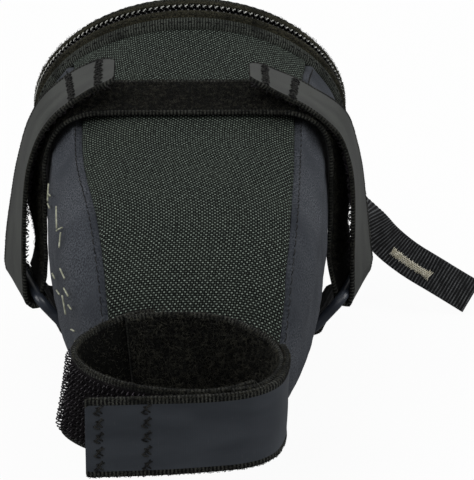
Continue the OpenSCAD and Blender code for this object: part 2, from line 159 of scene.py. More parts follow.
def ripple(u, v, size, seed):
    """Soft unevenness of about -1 to 1: a few waves of the given size in mixed directions."""
    draw = np.random.default_rng(seed)
    total = 0
    for _ in range(6):
        turn = draw.uniform(0, 2 * np.pi)
        pitch = size * draw.uniform(0.6, 1.7)
        way = u * np.cos(turn) + v * np.sin(turn)
        total = total + np.sin(2 * np.pi * way / pitch + draw.uniform(0, 6.3))
    return total / 3


# ---- Meshes ----

def piece(name, mesh_data, materials, body, replaces=(), uv=None, parts=None):
    """A finished piece: body is one body's name, to which it is attached; a tuple (body_a, body_b, start,
    end) for cloth across a joint is not used, and the piece is left unattached.
    """
    points, faces = mesh_data
    mesh = bpy.data.meshes.new(name)
    mesh.from_pydata((np.asarray(points) * MM).tolist(), [], [list(f) for f in faces])
    for m in materials if isinstance(materials, (list, tuple)) else [materials]:
        mesh.materials.append(m)
    if uv is not None:
        corner = np.empty(len(mesh.loops), np.int32)
        mesh.loops.foreach_get("vertex_index", corner)
        layer = mesh.uv_layers.new(name="UVMap")
        layer.data.foreach_set("uv", np.asarray(uv, np.float32)[corner].ravel())
    if parts is not None:
        mesh.polygons.foreach_set("material_index", np.asarray(parts, np.int32))
    work = bmesh.new()
    work.from_mesh(mesh)
    bmesh.ops.recalc_face_normals(work, faces=work.faces)
    work.to_mesh(mesh)
    work.free()
    mesh.polygons.foreach_set("use_smooth", np.ones(len(mesh.polygons), bool))
    obj = bpy.data.objects.new(name, mesh)
    bpy.context.scene.collection.objects.link(obj)
    if replaces:
        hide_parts(*replaces)
    if isinstance(body, str):
        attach(obj, body)
    else:
        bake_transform(obj)
    return obj


def sheet(outer, inner):
    """Closed shell between two grids of points."""
    rows, cols = outer.shape[:2]
    n = rows * cols
    grid = np.arange(n).reshape(rows, cols)
    top = np.stack([grid[:-1, :-1], grid[:-1, 1:], grid[1:, 1:], grid[1:, :-1]], -1).reshape(-1, 4)
    rim = np.concatenate([grid[0, :-1], grid[:-1, -1], grid[-1, :0:-1], grid[:0:-1, 0]])
    after = np.roll(rim, -1)
    sides = np.stack([after, rim, rim + n, after + n], -1)
    faces = np.vstack([top, (top + n)[:, ::-1], sides])
    return np.vstack([outer.reshape(-1, 3), inner.reshape(-1, 3)]), faces.tolist()


def loft(rings):
    """Closed loft through rings of an even number of points, where point i faces point -1 - i."""
    n, m = rings.shape[:2]
    grid = np.arange(n * m).reshape(n, m)
    after = np.roll(grid, -1, axis=1)
    sides = np.stack([grid[:-1], after[:-1], after[1:], grid[1:]], -1).reshape(-1, 4)
    i = np.arange(m // 2 - 1)
    cap = np.stack([i, i + 1, m - 2 - i, m - 1 - i], -1)
    faces = np.vstack([sides, cap[:, ::-1], cap + (n - 1) * m])
    return rings.reshape(-1, 3), faces.tolist()


def threads(paths, radius, sides=4):
    """Thin closed tubes along many short paths, given as an array (paths, points, 3)."""
    paths = np.asarray(paths, float)
    n, k = paths.shape[:2]
    along = unit(np.gradient(paths, axis=1))
    normal = np.cross(paths[:, k // 2] - paths[:, 0], paths[:, -1] - paths[:, 0])
    plain = np.cross(along[:, 0], [0.31, 0.52, 0.79])
    normal = np.where(np.linalg.norm(normal, axis=1, keepdims=True) > 1e-4, normal, plain)
    first = unit(normal[:, None] - (normal[:, None] * along).sum(-1, keepdims=True) * along)
    second = np.cross(along, first)
    a = np.linspace(0, 2 * np.pi, sides, endpoint=False)[None, None, :, None]
    radius = np.broadcast_to(np.asarray(radius, float), (n, k))[:, :, None, None]
    rings = paths[:, :, None] + radius * (first[:, :, None] * np.cos(a) + second[:, :, None] * np.sin(a))
    grid = np.arange(n * k * sides).reshape(n, k, sides)
    after = np.roll(grid, -1, axis=2)
    faces = np.stack([grid[:, :-1], after[:, :-1], after[:, 1:], grid[:, 1:]], -1).reshape(-1, 4)
    caps = np.vstack([grid[:, 0, ::-1], grid[:, -1]])
    return rings.reshape(-1, 3), faces.tolist() + caps.tolist()


def ring_tube(line, r, sides=12, up=(0, 0, 1)):
    """Closed ring: a round bar along a closed line."""
    line = np.asarray(line, float)
    along = unit(np.roll(line, -1, axis=0) - np.roll(line, 1, axis=0))
    first = unit(np.cross(along, np.asarray(up, float)))
    second = np.cross(along, first)
    a = np.linspace(0, 2 * np.pi, sides, endpoint=False)[None, :, None]
    rings = line[:, None] + r * (first[:, None] * np.cos(a) + second[:, None] * np.sin(a))
    n = len(line)
    grid = np.arange(n * sides).reshape(n, sides)
    after, ahead = np.roll(grid, -1, axis=1), np.roll(grid, -1, axis=0)
    faces = np.stack([grid, after, np.roll(after, -1, axis=0), ahead], -1).reshape(-1, 4)
    return rings.reshape(-1, 3), faces.tolist()


def join(*meshes):
    """Several meshes as one."""
    points, faces, base = [], [], 0
    for p, f in meshes:
        points.append(np.asarray(p, float))
        faces += [[i + base for i in face] for face in f]
        base += len(p)
    return np.vstack(points), faces


def mirrored(mesh_data, side):
    """The mesh as drawn for the right side, or its mirror image for the left."""
    points, faces = mesh_data
    return np.asarray(points) * [side, 1, 1], faces


class Band:
    """A woven band: its middle line, and the directions along, across and out of its face."""

    def __init__(self, path, across, step=0.6):
        path = np.asarray(path, float)
        across = np.broadcast_to(np.asarray(across, float), path.shape)
        both = even(np.hstack([path, across]), step)
        self.line = both[:, :3]
        self.s = lengths(self.line)
        self.along = unit(np.gradient(self.line, axis=0))
        self.out = unit(np.cross(self.along, both[:, 3:]))
        self.across = np.cross(self.out, self.along)

    def at(self, s, v, h):
        """Points at distance s along, v across and h out of the face."""
        s, v, h = np.broadcast_arrays(np.asarray(s, float), v, h)

        def pick(values):
            return np.stack([np.interp(s, self.s, values[:, i]) for i in range(3)], -1)
        return pick(self.line) + v[..., None] * pick(self.across) + h[..., None] * pick(self.out)

    def mesh(self, w, t, ends=(0, 0), relief=None, edge_w=1.4, cut=18):
        """The band as a closed loft, its flat coordinates and the part (face, back, edge) of each face."""
        r = t / 2
        flat = w / 2 - r
        turn = np.radians([15, 50])
        side_v, side_h = r * np.cos(turn), r * np.sin(turn)
        middle = np.concatenate([[-flat], np.linspace(-w / 2 + edge_w, w / 2 - edge_w, cut), [flat]])
        v = np.concatenate([-flat - side_v, middle, flat + side_v[::-1]])
        h = np.concatenate([side_h, np.full(len(middle), r), side_h[::-1]])
        v, h = np.concatenate([v, v[::-1]]), np.concatenate([h, -h[::-1]])
        s = self.s
        near = np.ones(len(s))
        for corner, gone in ((ends[0], s), (ends[1], s[-1] - s)):
            if corner:
                left = np.clip(1 - gone / corner, 0, 0.97)
                near = near - corner / (w / 2) * (1 - np.sqrt(1 - left**2))
        vv = near[:, None] * v[None]
        ss = np.broadcast_to(s[:, None], vv.shape)
        hh = np.broadcast_to(h[None], vv.shape)
        if relief is not None:
            hh = hh + relief(ss, vv) * np.sign(h)[None]
        points, faces = loft(self.at(ss, vv, hh))
        m, half = len(v), len(v) // 2
        ring = np.tile(np.arange(m), len(s) - 1)
        edge = (np.abs(v[ring]) > w / 2 - edge_w - 1e-6) & (np.abs(v[(ring + 1) % m]) > w / 2 - edge_w - 1e-6)
        parts = np.where(edge, 2, np.where(ring < half, 0, 1))
        parts = np.concatenate([parts, np.full(len(faces) - len(parts), 2)])
        return (points, faces), np.stack([ss, vv], -1).reshape(-1, 2), parts


def selvedge(w, height=0.1, pitch=0.9, band=1.5):
    """Relief of a woven edge: a raised cord with a rib at every pick."""
    def relief(s, v):
        near = np.clip((np.abs(v) - (w / 2 - band)) / band, 0, 1)
        return height * np.sin(np.pi * near) * (1 + 0.6 * np.sin(2 * np.pi * s / pitch))
    return relief


def stitch_paths(line, out, length=2.2, gap=0.7, rise=0.28, sink=0.25):
    """Paths of the thread of a stitched line; each stitch dips into the cloth at both ends."""
    both = even(np.hstack([line, np.broadcast_to(out, line.shape)]), 0.3)
    s = lengths(both[:, :3])
    t = np.linspace(-0.5, 0.5, 5)
    paths = []
    for middle in np.arange(length / 2 + gap, s[-1] - length / 2, length + gap):
        at = middle + t * length
        p = np.stack([np.interp(at, s, both[:, i]) for i in range(3)], 1)
        n = unit(np.stack([np.interp(at, s, both[:, i]) for i in range(3, 6)], 1))
        p = p + n * (rise * np.cos(np.pi * t * 0.98) - sink * (2 * np.abs(t)) ** 4)[:, None]
        paths.append(p)
    return np.array(paths)


def fuzz_paths(at, count, s_range, v_range, height, spread, points=4, loop=False, h0=0.0, face=1):
    """Paths of short fibres or loops that stand on a band's face: at(s, v, h) places them."""
    s = rng.uniform(*s_range, count)
    v = rng.uniform(*v_range, count)
    turn = rng.uniform(0, 2 * np.pi, count)
    tall = height * rng.uniform(0.55, 1.25, count)
    wide = spread * rng.uniform(0.4, 1.3, count)
    t = np.linspace(0, 1, points)
    rise = np.sin(np.pi * t) if loop else t ** 0.8
    run = t if loop else t ** 1.6
    ds = (run[None] - 0.5 * loop) * (wide * np.cos(turn))[:, None]
    dv = (run[None] - 0.5 * loop) * (wide * np.sin(turn))[:, None]
    return at(s[:, None] + ds, v[:, None] + dv, face * (h0 - 0.1 + rise[None] * tall[:, None]))


def rim_loops(at, count, s_range, starts, wide, tall, spread, h0, faces):
    """Paths of the loops that fray out of a band's edges: starts holds each edge's place across."""
    return np.concatenate([fuzz_paths(at, count, s_range, (v, v + wide), tall, spread, 4, True, h0, face)
                           for v in starts for face in faces])


def scattered(s_values, v_values):
    """A grid of spots on a band, each a little out of place."""
    return [(spots + rng.uniform(-0.12, 0.12, spots.shape)).ravel()
            for spots in np.meshgrid(s_values, v_values)]


# ---- Materials ----

def rgb(r, g, b):
    """A colour given as 8-bit sRGB, in Blender's linear values."""
    parts = [c / 255 for c in (r, g, b)]
    return [c / 12.92 if c <= 0.04045 else ((c + 0.055) / 1.055) ** 2.4 for c in parts] + [1.0]


class Look:
    """A procedural material, built node by node."""

    def __init__(self, name, roughness=0.8, sheen=0.0, metallic=0.0, coat=0.0, gloss=0.5):
        self.material = bpy.data.materials.new(name)
        self.material.use_nodes = True
        self.tree = self.material.node_tree
        self.tree.nodes.clear()
        self.shader = self.node("ShaderNodeBsdfPrincipled", {
            "Roughness": roughness, "Sheen Weight": sheen, "Sheen Roughness": 0.5, "Metallic": metallic,
            "Coat Weight": coat, "Coat Roughness": 0.25, "Specular IOR Level": gloss})
        out = self.node("ShaderNodeOutputMaterial")
        self.tree.links.new(self.shader.outputs[0], out.inputs["Surface"])

    def put(self, socket, value):
        if isinstance(value, bpy.types.NodeSocket):
            self.tree.links.new(value, socket)
        else:
            socket.default_value = value

    def node(self, kind, inputs=None, **settings):
        made = self.tree.nodes.new(kind)
        for key, value in settings.items():
            setattr(made, key, value)
        for key, value in (inputs or {}).items():
            self.put(made.inputs[key], value)
        return made

    def calc(self, operation, *values):
        return self.node("ShaderNodeMath", dict(enumerate(values)), operation=operation).outputs[0]

    def mix(self, factor, a, b):
        return self.node("ShaderNodeMix", {0: factor, 6: a, 7: b}, data_type="RGBA").outputs[2]

    def ramp(self, value, low, high):
        """0 below low, 1 above high, smooth between."""
        made = self.node("ShaderNodeMapRange", {0: value, 1: low, 2: high}, interpolation_type="SMOOTHSTEP")
        return made.outputs[0]

    def cloth_mm(self):
        """The cloth's own flat coordinates in millimetres."""
        return self.node("ShaderNodeUVMap", uv_map="UVMap").outputs[0]

    def place_mm(self):
        """The object's coordinates in millimetres."""
        spot = self.node("ShaderNodeTexCoord").outputs["Object"]
        return self.node("ShaderNodeVectorMath", {0: spot, "Scale": 1 / MM}, operation="SCALE").outputs[0]

    def noise(self, vector, size, detail=2.0, stretch=(1, 1, 1)):
        """Noise of about the given size in millimetres."""
        scale = [1 / (size * s) for s in stretch]
        turned = self.node("ShaderNodeMapping", {0: vector, "Scale": scale}).outputs[0]
        return self.node("ShaderNodeTexNoise", {"Vector": turned, "Scale": 1.0, "Detail": detail}).outputs[0]

    def finish(self, colour, height=None, strength=0.5, distance=0.1):
        self.put(self.shader.inputs["Base Color"], colour)
        if height is not None:
            bump = self.node("ShaderNodeBump", {"Height": height, "Strength": strength,
                                                "Distance": distance * MM})
            self.put(self.shader.inputs["Normal"], bump.outputs[0])
        return self.material


def weave_nodes(look, vector, cell_u, cell_v):
    """Height of a plain weave, and 1 where the yarn that runs along v is on top."""
    split = look.node("ShaderNodeSeparateXYZ", {0: vector})
    u, v = look.calc("DIVIDE", split.outputs[0], cell_u), look.calc("DIVIDE", split.outputs[1], cell_v)
    whole = look.calc("ADD", look.calc("FLOOR", u), look.calc("FLOOR", v))
    over = look.calc("GREATER_THAN", look.calc("FRACT", look.calc("MULTIPLY", whole, 0.5)), 0.25)
    round_u, round_v = (look.calc("SINE", look.calc("MULTIPLY", look.calc("FRACT", w), math.pi))
                        for w in (u, v))
    warp = look.calc("MULTIPLY", round_u, look.calc("POWER", round_v, 0.5))
    weft = look.calc("MULTIPLY", round_v, look.calc("POWER", round_u, 0.5))
    return look.node("ShaderNodeMix", {0: over, 2: weft, 3: warp}).outputs[0], over


def ballistic(name, dark, light, cell_u=0.69, cell_v=0.9):
    """Coarse plain weave, with painted highlights on its weft crossings and painted shade between its yarns.
    """
    look = Look(name, roughness=0.7, gloss=0.08)
    cloth = look.cloth_mm()
    height, over = weave_nodes(look, cloth, cell_u, cell_v)
    uneven = look.noise(cloth, 0.9, 3)
    # Painted highlight: the raised weft crossings take the light colour, in random patches
    glint = look.calc("MULTIPLY", look.ramp(height, 0.4, 0.85), look.calc("MULTIPLY_ADD", over, -0.9, 1.0))
    glint = look.calc("MULTIPLY", glint, look.ramp(uneven, 0.15, 0.75))
    # Painted shade: the low parts of the weave, between the yarns, are darkened towards (3, 4, 4)
    painted_valley_shade = look.mix(look.ramp(height, 0.25, 0.85), rgb(3, 4, 4), rgb(*dark))
    patchy = look.mix(look.ramp(look.noise(cloth, 14), 0.35, 0.75), painted_valley_shade, rgb(34, 38, 32))
    colour = look.mix(glint, look.mix(look.ramp(height, 0.3, 0.9), painted_valley_shade, patchy), rgb(*light))
    return look.finish(colour, height, 0.9, 0.16)


def heather(name, dark, light, cell=0.36, grain=0.7):
    """Smooth fabric of mixed yarns, with painted shade in the hollows of its weave."""
    look = Look(name, roughness=0.82, sheen=0.03, gloss=0.15)
    cloth = look.cloth_mm()
    height, _ = weave_nodes(look, cloth, cell, cell)
    fleck = look.noise(cloth, 0.42, 3, (1, 1.3, 1))
    mixed = look.mix(look.ramp(fleck, 0.32, 0.68), rgb(*dark), rgb(*light))
    soft = look.mix(look.ramp(look.noise(cloth, 18, 3), 0.3, 0.75), mixed, rgb(*[int(0.55 * a + 0.4 * b)
                                                                             for a, b in zip(dark, light)]))
    # Painted shade: the hollows of the weave are darkened towards (22, 24, 28)
    colour = look.mix(look.calc("MULTIPLY", look.calc("SUBTRACT", 1.0, height), 0.35), soft, rgb(22, 24, 28))
    lumps = look.calc("ADD", look.calc("MULTIPLY", height, 0.5), look.calc("MULTIPLY", fleck, grain))
    return look.finish(colour, lumps, 0.55, 0.09)


def fuzzy(name, dark, light, rib=0.0, size=0.45, rough=0.95):
    """Brushed or looped cloth: mottled, with faint ribs across where a pitch is given."""
    look = Look(name, roughness=rough, sheen=0.02, gloss=0.1)
    cloth = look.cloth_mm()
    speck = look.noise(cloth, size, 5)
    height = speck
    if rib:
        along = look.node("ShaderNodeSeparateXYZ", {0: cloth}).outputs[0]
        wave = look.calc("SINE", look.calc("MULTIPLY", along, 2 * math.pi / rib))
        height = look.calc("ADD", speck, look.calc("MULTIPLY", wave, 0.16))
    # Painted shade: where a rib pitch is given, the troughs between the ribs come out darker; the noise
    # mottle is the cloth's own
    colour = look.mix(look.ramp(height, 0.36, 0.74), rgb(*dark), rgb(*light))
    broad = look.mix(look.ramp(look.noise(cloth, 6, 2), 0.4, 0.8), colour, rgb(*dark))
    return look.finish(broad, height, 0.9, 0.3)


def ribbed(name, dark, light, pitch, rough=0.7):
    """Woven band with a rib at every pick across it, and painted highlights on the rib crests."""
    look = Look(name, roughness=rough, sheen=0.02, gloss=0.2)
    cloth = look.cloth_mm()
    split = look.node("ShaderNodeSeparateXYZ", {0: cloth})
    along = look.calc("ADD", split.outputs[0], look.calc("MULTIPLY", look.noise(cloth, 5), 0.5))
    wave = look.calc("SINE", look.calc("MULTIPLY", along, 2 * math.pi / pitch))
    yarn = look.calc("SINE", look.calc("MULTIPLY", split.outputs[1], 2 * math.pi / (pitch * 0.8)))
    height = look.calc("ADD", look.calc("MULTIPLY_ADD", wave, 0.4, 0.5), look.calc("MULTIPLY", yarn, 0.05))
    # Painted highlight: the rib crests are lightened towards the light colour, in random patches
    wear_and_sheen = look.calc("MULTIPLY", look.ramp(height, 0.45, 0.95),
                     look.ramp(look.noise(cloth, 2.2, 3), 0.15, 0.7))
    return look.finish(look.mix(wear_and_sheen, rgb(*dark), rgb(*light)), height, 0.8, 0.16)


def coated(name, dark, light, rough=0.33):
    """Smooth coated webbing: satin, with the web's weave just showing through."""
    look = Look(name, roughness=rough, coat=0.12, gloss=0.5)
    cloth = look.cloth_mm()
    height, _ = weave_nodes(look, cloth, 0.55, 0.55)
    broad = look.noise(cloth, 9, 3, (2.2, 0.7, 1))
    colour = look.mix(look.ramp(broad, 0.3, 0.7), rgb(*dark), rgb(*light))
    scuff = look.ramp(look.noise(cloth, 0.9, 6, (0.6, 3, 1)), 0.62, 0.8)
    colour = look.mix(look.calc("MULTIPLY", scuff, 0.25), colour, rgb(96, 98, 98))
    look.put(look.shader.inputs["Roughness"], look.calc("MULTIPLY_ADD", broad, 0.25, rough - 0.1))
    lumps = look.calc("ADD", look.calc("MULTIPLY", height, 0.35), look.noise(cloth, 2.2, 3))
    return look.finish(colour, lumps, 0.22, 0.12)


def moulded(name, dark, light, rough=0.42, size=0.35, metallic=0.0, coat=0.0):
    """Moulded plastic or cast metal: a fine grain, worn lighter in places."""
    look = Look(name, roughness=rough, metallic=metallic, coat=coat)
    place = look.place_mm()
    grain = look.noise(place, size, 3)
    wear = look.ramp(look.noise(place, 4, 5), 0.5, 0.8)
    look.put(look.shader.inputs["Roughness"], look.calc("MULTIPLY_ADD", grain, 0.2, rough - 0.1))
    return look.finish(look.mix(wear, rgb(*dark), rgb(*light)), grain, 0.25, 0.06)


def yarn(name, dark, light, rough=0.75):
    """Thread and fibres."""
    look = Look(name, roughness=rough, sheen=0.03, gloss=0.2)
    place = look.place_mm()
    return look.finish(look.mix(look.ramp(look.noise(place, 1.3, 2), 0.35, 0.7), rgb(*dark), rgb(*light)),
                       look.noise(place, 0.12, 2), 0.4, 0.05)


# The second colour of each ballistic cloth is the colour of its painted highlights
TOP_CLOTH = ballistic("ballistic_weave", (17, 21, 18), (150, 163, 152), 0.63, 0.66)
BASE_CLOTH = ballistic("ballistic_base", (24, 28, 26), (122, 128, 122), 0.63, 0.66)
SIDE_CLOTH = heather("side_cloth", (24, 28, 36), (106, 110, 117))
BINDING = fuzzy("binding_tape", (22, 24, 22), (82, 86, 80), rib=0.75, size=0.4)
TAPE = fuzzy("zip_tape", (26, 26, 20), (74, 72, 58), size=0.5)
COIL = moulded("coil_nylon", (8, 8, 8), (16, 16, 16), rough=0.2, coat=0.6)
# Painted highlight: the near-white colour of the slanted stitches over the coil stands for the coil's glints
COIL_GLINT = yarn("coil_glint", (165, 167, 160), (225, 226, 220), rough=0.5)
PILE = fuzzy("loop_pile", (4, 4, 4), (20, 21, 17), size=0.6)
PILE_FIBRE = yarn("pile_fibre", (12, 12, 10), (66, 65, 56))
# The second colour of each ribbed band is the colour of the painted highlights on its rib crests
WEB_BLACK = ribbed("black_webbing", (13, 13, 14), (40, 41, 42), 0.9, 0.9)
SELVEDGE = fuzzy("woven_selvedge", (12, 13, 13), (74, 75, 70), rib=0.9, size=0.4)
COAT_GREY = coated("coated_grey", (42, 44, 42), (64, 67, 63))
COAT_NAVY = coated("coated_navy", (46, 51, 58), (58, 63, 70), 0.45)
HOOK = moulded("hook_nylon", (34, 30, 35), (70, 62, 70), rough=0.35)
HOOK_WEB = fuzzy("hook_web", (15, 14, 16), (40, 36, 38), size=0.5)
GROSGRAIN = ribbed("grosgrain", (20, 20, 22), (104, 106, 108), 0.92)
TACK_THREAD = yarn("tack_thread", (206, 200, 178), (240, 236, 220))
DARK_THREAD = yarn("dark_thread", (8, 8, 9), (46, 46, 44))
RING_PLASTIC = moulded("ring_plastic", (50, 55, 64), (78, 84, 94), rough=0.32)
METAL = moulded("dark_metal", (70, 72, 76), (118, 120, 124), rough=0.35, metallic=0.9)
LINING = heather("lining_cloth", (78, 82, 90), (112, 116, 124), cell=0.5)
FOAM = fuzzy("foam", (104, 106, 110), (136, 138, 142), size=0.9)
PRINT = yarn("reflective_print", (150, 152, 132), (196, 198, 176), rough=0.35)


def sides(out, front, back):
    """Materials of a band whose front faces its outer side, or its inner one where out is negative."""
    return (front, back, SELVEDGE) if out > 0 else (back, front, SELVEDGE)


# ---- Body ----

def power(values, n):
    return np.sign(values) * np.abs(values) ** (2 / n)


def skin(k, a, depth=0.0):
    """Points on the body at station k, angle a in degrees from the top line, at a depth under the skin."""
    k, a, depth = np.broadcast_arrays(np.asarray(k, float), a, depth)
    inside = np.maximum(k, 0)
    top, low = station(TOP_LINE, inside), station(LOW_LINE, inside)
    half_h = np.linalg.norm(top - low, axis=-1) / 2
    up, mid = unit(top - low), (top + low) / 2
    upper = np.abs(a) <= 90
    n = np.where(upper, station(SQUARE_TOP, inside), station(SQUARE_LOW, inside))
    rad = np.radians(a)
    narrow = np.where(upper, 1, 1 - station(TUCK, inside) * np.sin(np.abs(rad) - math.pi / 2) ** 2)
    shut = 1 - 0.94 * np.clip(-k, 0, 1)
    half = station(HALF_W, inside) + station(LEFT_FULLER, inside) * (a < 0) * np.clip(np.abs(a) / 50, 0, 1)
    x = (half - depth) * power(np.sin(rad), n) * narrow * (0.35 + 0.65 * shut)
    h = (half_h - depth) * power(np.cos(rad), n) * shut
    ahead = 2.2 * np.sin(np.clip(-k, 0, 1) * math.pi / 2)
    return np.stack([x, mid[..., 0] + up[..., 0] * h - ahead, mid[..., 1] + up[..., 1] * h], -1)


def settle(grid, held, pressure, cap, frames=16):
    """Runs a panel as cloth, filled from inside and held at its seams; returns how far each point moved."""
    rows, cols = grid.shape[:2]
    mesh = bpy.data.meshes.new("cloth_run")
    index = np.arange(rows * cols).reshape(rows, cols)
    faces = np.stack([index[:-1, :-1], index[:-1, 1:], index[1:, 1:], index[1:, :-1]], -1).reshape(-1, 4)
    middle = grid.reshape(-1, 3).mean(0)
    a, b, c = (grid.reshape(-1, 3)[faces[len(faces) // 2][i]] for i in range(3))
    if np.dot(np.cross(b - a, c - a), (a - [0, middle[1], -35])) < 0:
        faces = faces[:, ::-1]
    mesh.from_pydata((grid.reshape(-1, 3) * MM).tolist(), [], faces.tolist())
    obj = bpy.data.objects.new("cloth_run", mesh)
    bpy.context.scene.collection.objects.link(obj)
    group = obj.vertex_groups.new(name="held")
    for weight in np.unique(held):
        group.add(np.flatnonzero(held.ravel() == weight).tolist(), float(weight), "REPLACE")
    cloth = obj.modifiers.new("Cloth", "CLOTH")
    cloth.settings.quality = 6
    cloth.settings.mass = 0.2
    cloth.settings.tension_stiffness = cloth.settings.compression_stiffness = 12
    cloth.settings.shear_stiffness = 6
    cloth.settings.bending_stiffness = 0.6
    cloth.settings.use_pressure = True
    cloth.settings.uniform_pressure_force = pressure
    cloth.settings.vertex_group_mass = "held"
    cloth.settings.effector_weights.gravity = 0.4
    cloth.point_cache.frame_start, cloth.point_cache.frame_end = 1, frames
    scene = bpy.context.scene
    for frame_number in range(1, frames + 1):
        scene.frame_set(frame_number)
    result = obj.evaluated_get(bpy.context.evaluated_depsgraph_get()).data
    moved = np.empty(rows * cols * 3)
    result.vertices.foreach_get("co", moved)
    moved = moved.reshape(rows, cols, 3) / MM - grid
    bpy.data.objects.remove(obj)
    bpy.data.meshes.remove(mesh)
    scene.frame_set(1)
    far = np.linalg.norm(moved, axis=-1, keepdims=True)
    return moved * cap / (cap + far)


def finer(values, rows, cols):
    """A grid of vectors resampled to more rows and columns."""
    def along(block, count):
        at = np.linspace(0, len(block) - 1, count)
        i = np.minimum(at.astype(int), len(block) - 2)
        t = (at - i)[:, None, None]
        t = t * t * (3 - 2 * t)
        return block[i] * (1 - t) + block[i + 1] * t
    return along(along(values, rows).transpose(1, 0, 2), cols).transpose(1, 0, 2)


def across_mm(grid):
    """Distance of each point of a grid from the start of its row."""
    step = np.linalg.norm(np.diff(grid, axis=1), axis=-1)
    return np.concatenate([np.zeros((len(grid), 1)), np.cumsum(step, axis=1)], 1)


def seam_dip(grid):
    """How deep each point of a panel lies because the seams beside it draw the cloth in."""
    s = across_mm(grid)
    near = np.minimum(s, s[:, -1:] - s)
    return 0.95 * np.exp(-(near / 0.7) ** 2) - 0.3 * np.exp(-((near - 2.0) / 1.1) ** 2)


STRAP_HOLD = 11
STRAP_FOOT = -66
COARSE = (46, 22)
# The panels lie smooth behind this leaning plane, where the zipper's binding holds them
SMOOTH_Y, SMOOTH_Z, SMOOTH_SLOPE = 45, -33, 0.46


def panel_angles(start, end, rows, cols, first=-1.0):
    """Stations and angles of a panel's grid between two seams, denser towards them."""
    k = np.linspace(first, 9, rows)
    t = np.linspace(0, 1, cols)
    t = 0.45 * t + 0.55 * (1 - np.cos(np.pi * t)) / 2
    low = start(k) if callable(start) else np.full(rows, start)
    high = end(k) if callable(end) else np.full(rows, end)
    return k[:, None], low[:, None] * (1 - t) + high[:, None] * t


def hold(grid):
    """1 where a panel is held still (seams, under the straps), less in between."""
    held = np.zeros(grid.shape[:2])
    held[[0, 1, -1]] = 1
    held[:, [0, -1]] = 1
    straps = np.abs(grid[..., 1]) < STRAP_HOLD
    held[straps & (grid[..., 2] > STRAP_FOOT)] = 1
    return held


def panel(name, start, end, material, node, rows=150, cols=64, pressure=3.0, cap=1.6, wrinkle=0.16):
    """One outer panel: settled as cloth, drawn in at its seams and laid over with small wrinkles."""
    coarse = skin(*panel_angles(start, end, *COARSE))
    moved = settle(coarse, hold(coarse), pressure, cap)
    k, a = panel_angles(start, end, rows, cols)
    base = skin(k, a)
    under = skin(k, a, 1.0)
    inward = unit(under - base)
    dip = seam_dip(base)
    across = across_mm(base)
    middle = cols // 2
    across = across - across[:, middle:middle + 1]
    along = np.broadcast_to(lengths(base[:, middle])[:, None], across.shape)
    calm = np.clip((np.abs(base[..., 1]) - STRAP_HOLD) / 8, 0, 1)
    ahead = SMOOTH_Y - base[..., 1] + SMOOTH_SLOPE * (base[..., 2] - SMOOTH_Z)
    edge = np.clip(ahead / 10, 0, 1)
    uneven = wrinkle * (ripple(along, across * 0.6, 26, len(name)) + 0.4 * ripple(along, across, 9, 3))
    depth = dip - uneven * calm * edge
    outer = base + finer(moved, rows, cols) + inward * depth[..., None]
    inner = outer + inward * PANEL_T
    uv = np.stack([across, along], -1).reshape(-1, 2)
    piece(name, sheet(outer, inner), material, "bag", [node], uv=np.vstack([uv, uv]))


def seam_angle(side, shift=0.0):
    return lambda k: side * (station(TOP_SEAM[side], np.maximum(k, 0)) + shift)


panel("top_cloth", seam_angle(-1), seam_angle(1), TOP_CLOTH, "top_panel", rows=170, cols=80,
      pressure=1.6, cap=0.9)
panel("bottom_cloth", LOW_SEAM, 360 - LOW_SEAM, BASE_CLOTH, "bottom_panel", cols=56, cap=2.4)
for side, word in ((-1, "left"), (1, "right")):
    panel(f"side_cloth_{word}", seam_angle(side), side * LOW_SEAM, SIDE_CLOTH,
          f"side_panel_{word}", pressure=3.6, cap=2.2, wrinkle=0.22)


def under_layer(name, start, end, d0, d1, material, slot, nodes, rows=60, cols=24, tufts=0.0):
    """A hidden layer of the body between two depths."""
    k, a = panel_angles(start, end, rows, cols, first=1.0)
    base = skin(k, a)
    across = across_mm(base)
    along = np.broadcast_to(lengths(base[:, cols // 2])[:, None], across.shape)
    lumps = tufts * ripple(along, across, 12, 5)
    outer, inner = skin(k, a, d0 + lumps), skin(k, a, d1 + lumps)
    uv = np.stack([across, along], -1).reshape(-1, 2)
    piece(name, sheet(outer, inner), material, "bag", nodes, uv=np.vstack([uv, uv]))


FOAM_DEPTH = (1.35, 3.0)
LINING_DEPTH = (3.5, 3.9)
under_layer("foam_pad_top", seam_angle(-1, -0.8), seam_angle(1, -0.8), *FOAM_DEPTH, FOAM, "foam",
            ["foam_top"])
under_layer("foam_pad_bottom", LOW_SEAM + 1, 359 - LOW_SEAM, *FOAM_DEPTH, FOAM, "foam", ["foam_bottom"])
for side, word in ((-1, "left"), (1, "right")):
    under_layer(f"foam_pad_{word}", seam_angle(side, 0.8), side * (LOW_SEAM - 1), *FOAM_DEPTH, FOAM, "foam",
                [f"foam_{word}"])
under_layer("lining_cloth", -179, 179, *LINING_DEPTH, LINING, "lining", ["lining"], 90, 120, tufts=0.12)


def seam_stitches():
    """Thread of the topstitching beside the upper seams, and of the seams of the bottom."""
    paths = []
    k = np.linspace(0.3, 8.8, 160)
    for side in (-1, 1):
        for angle in (station(TOP_SEAM[side], k) + 3.2, np.full(160, LOW_SEAM - 2.6)):
            line = skin(k, side * angle)
            out = unit(line - skin(k, side * angle, 1.0))
            paths.append(stitch_paths(line + out * 0.1, out, rise=0.2))
    return threads(np.concatenate(paths), 0.13)


piece("seam_thread", seam_stitches(), DARK_THREAD, "bag")


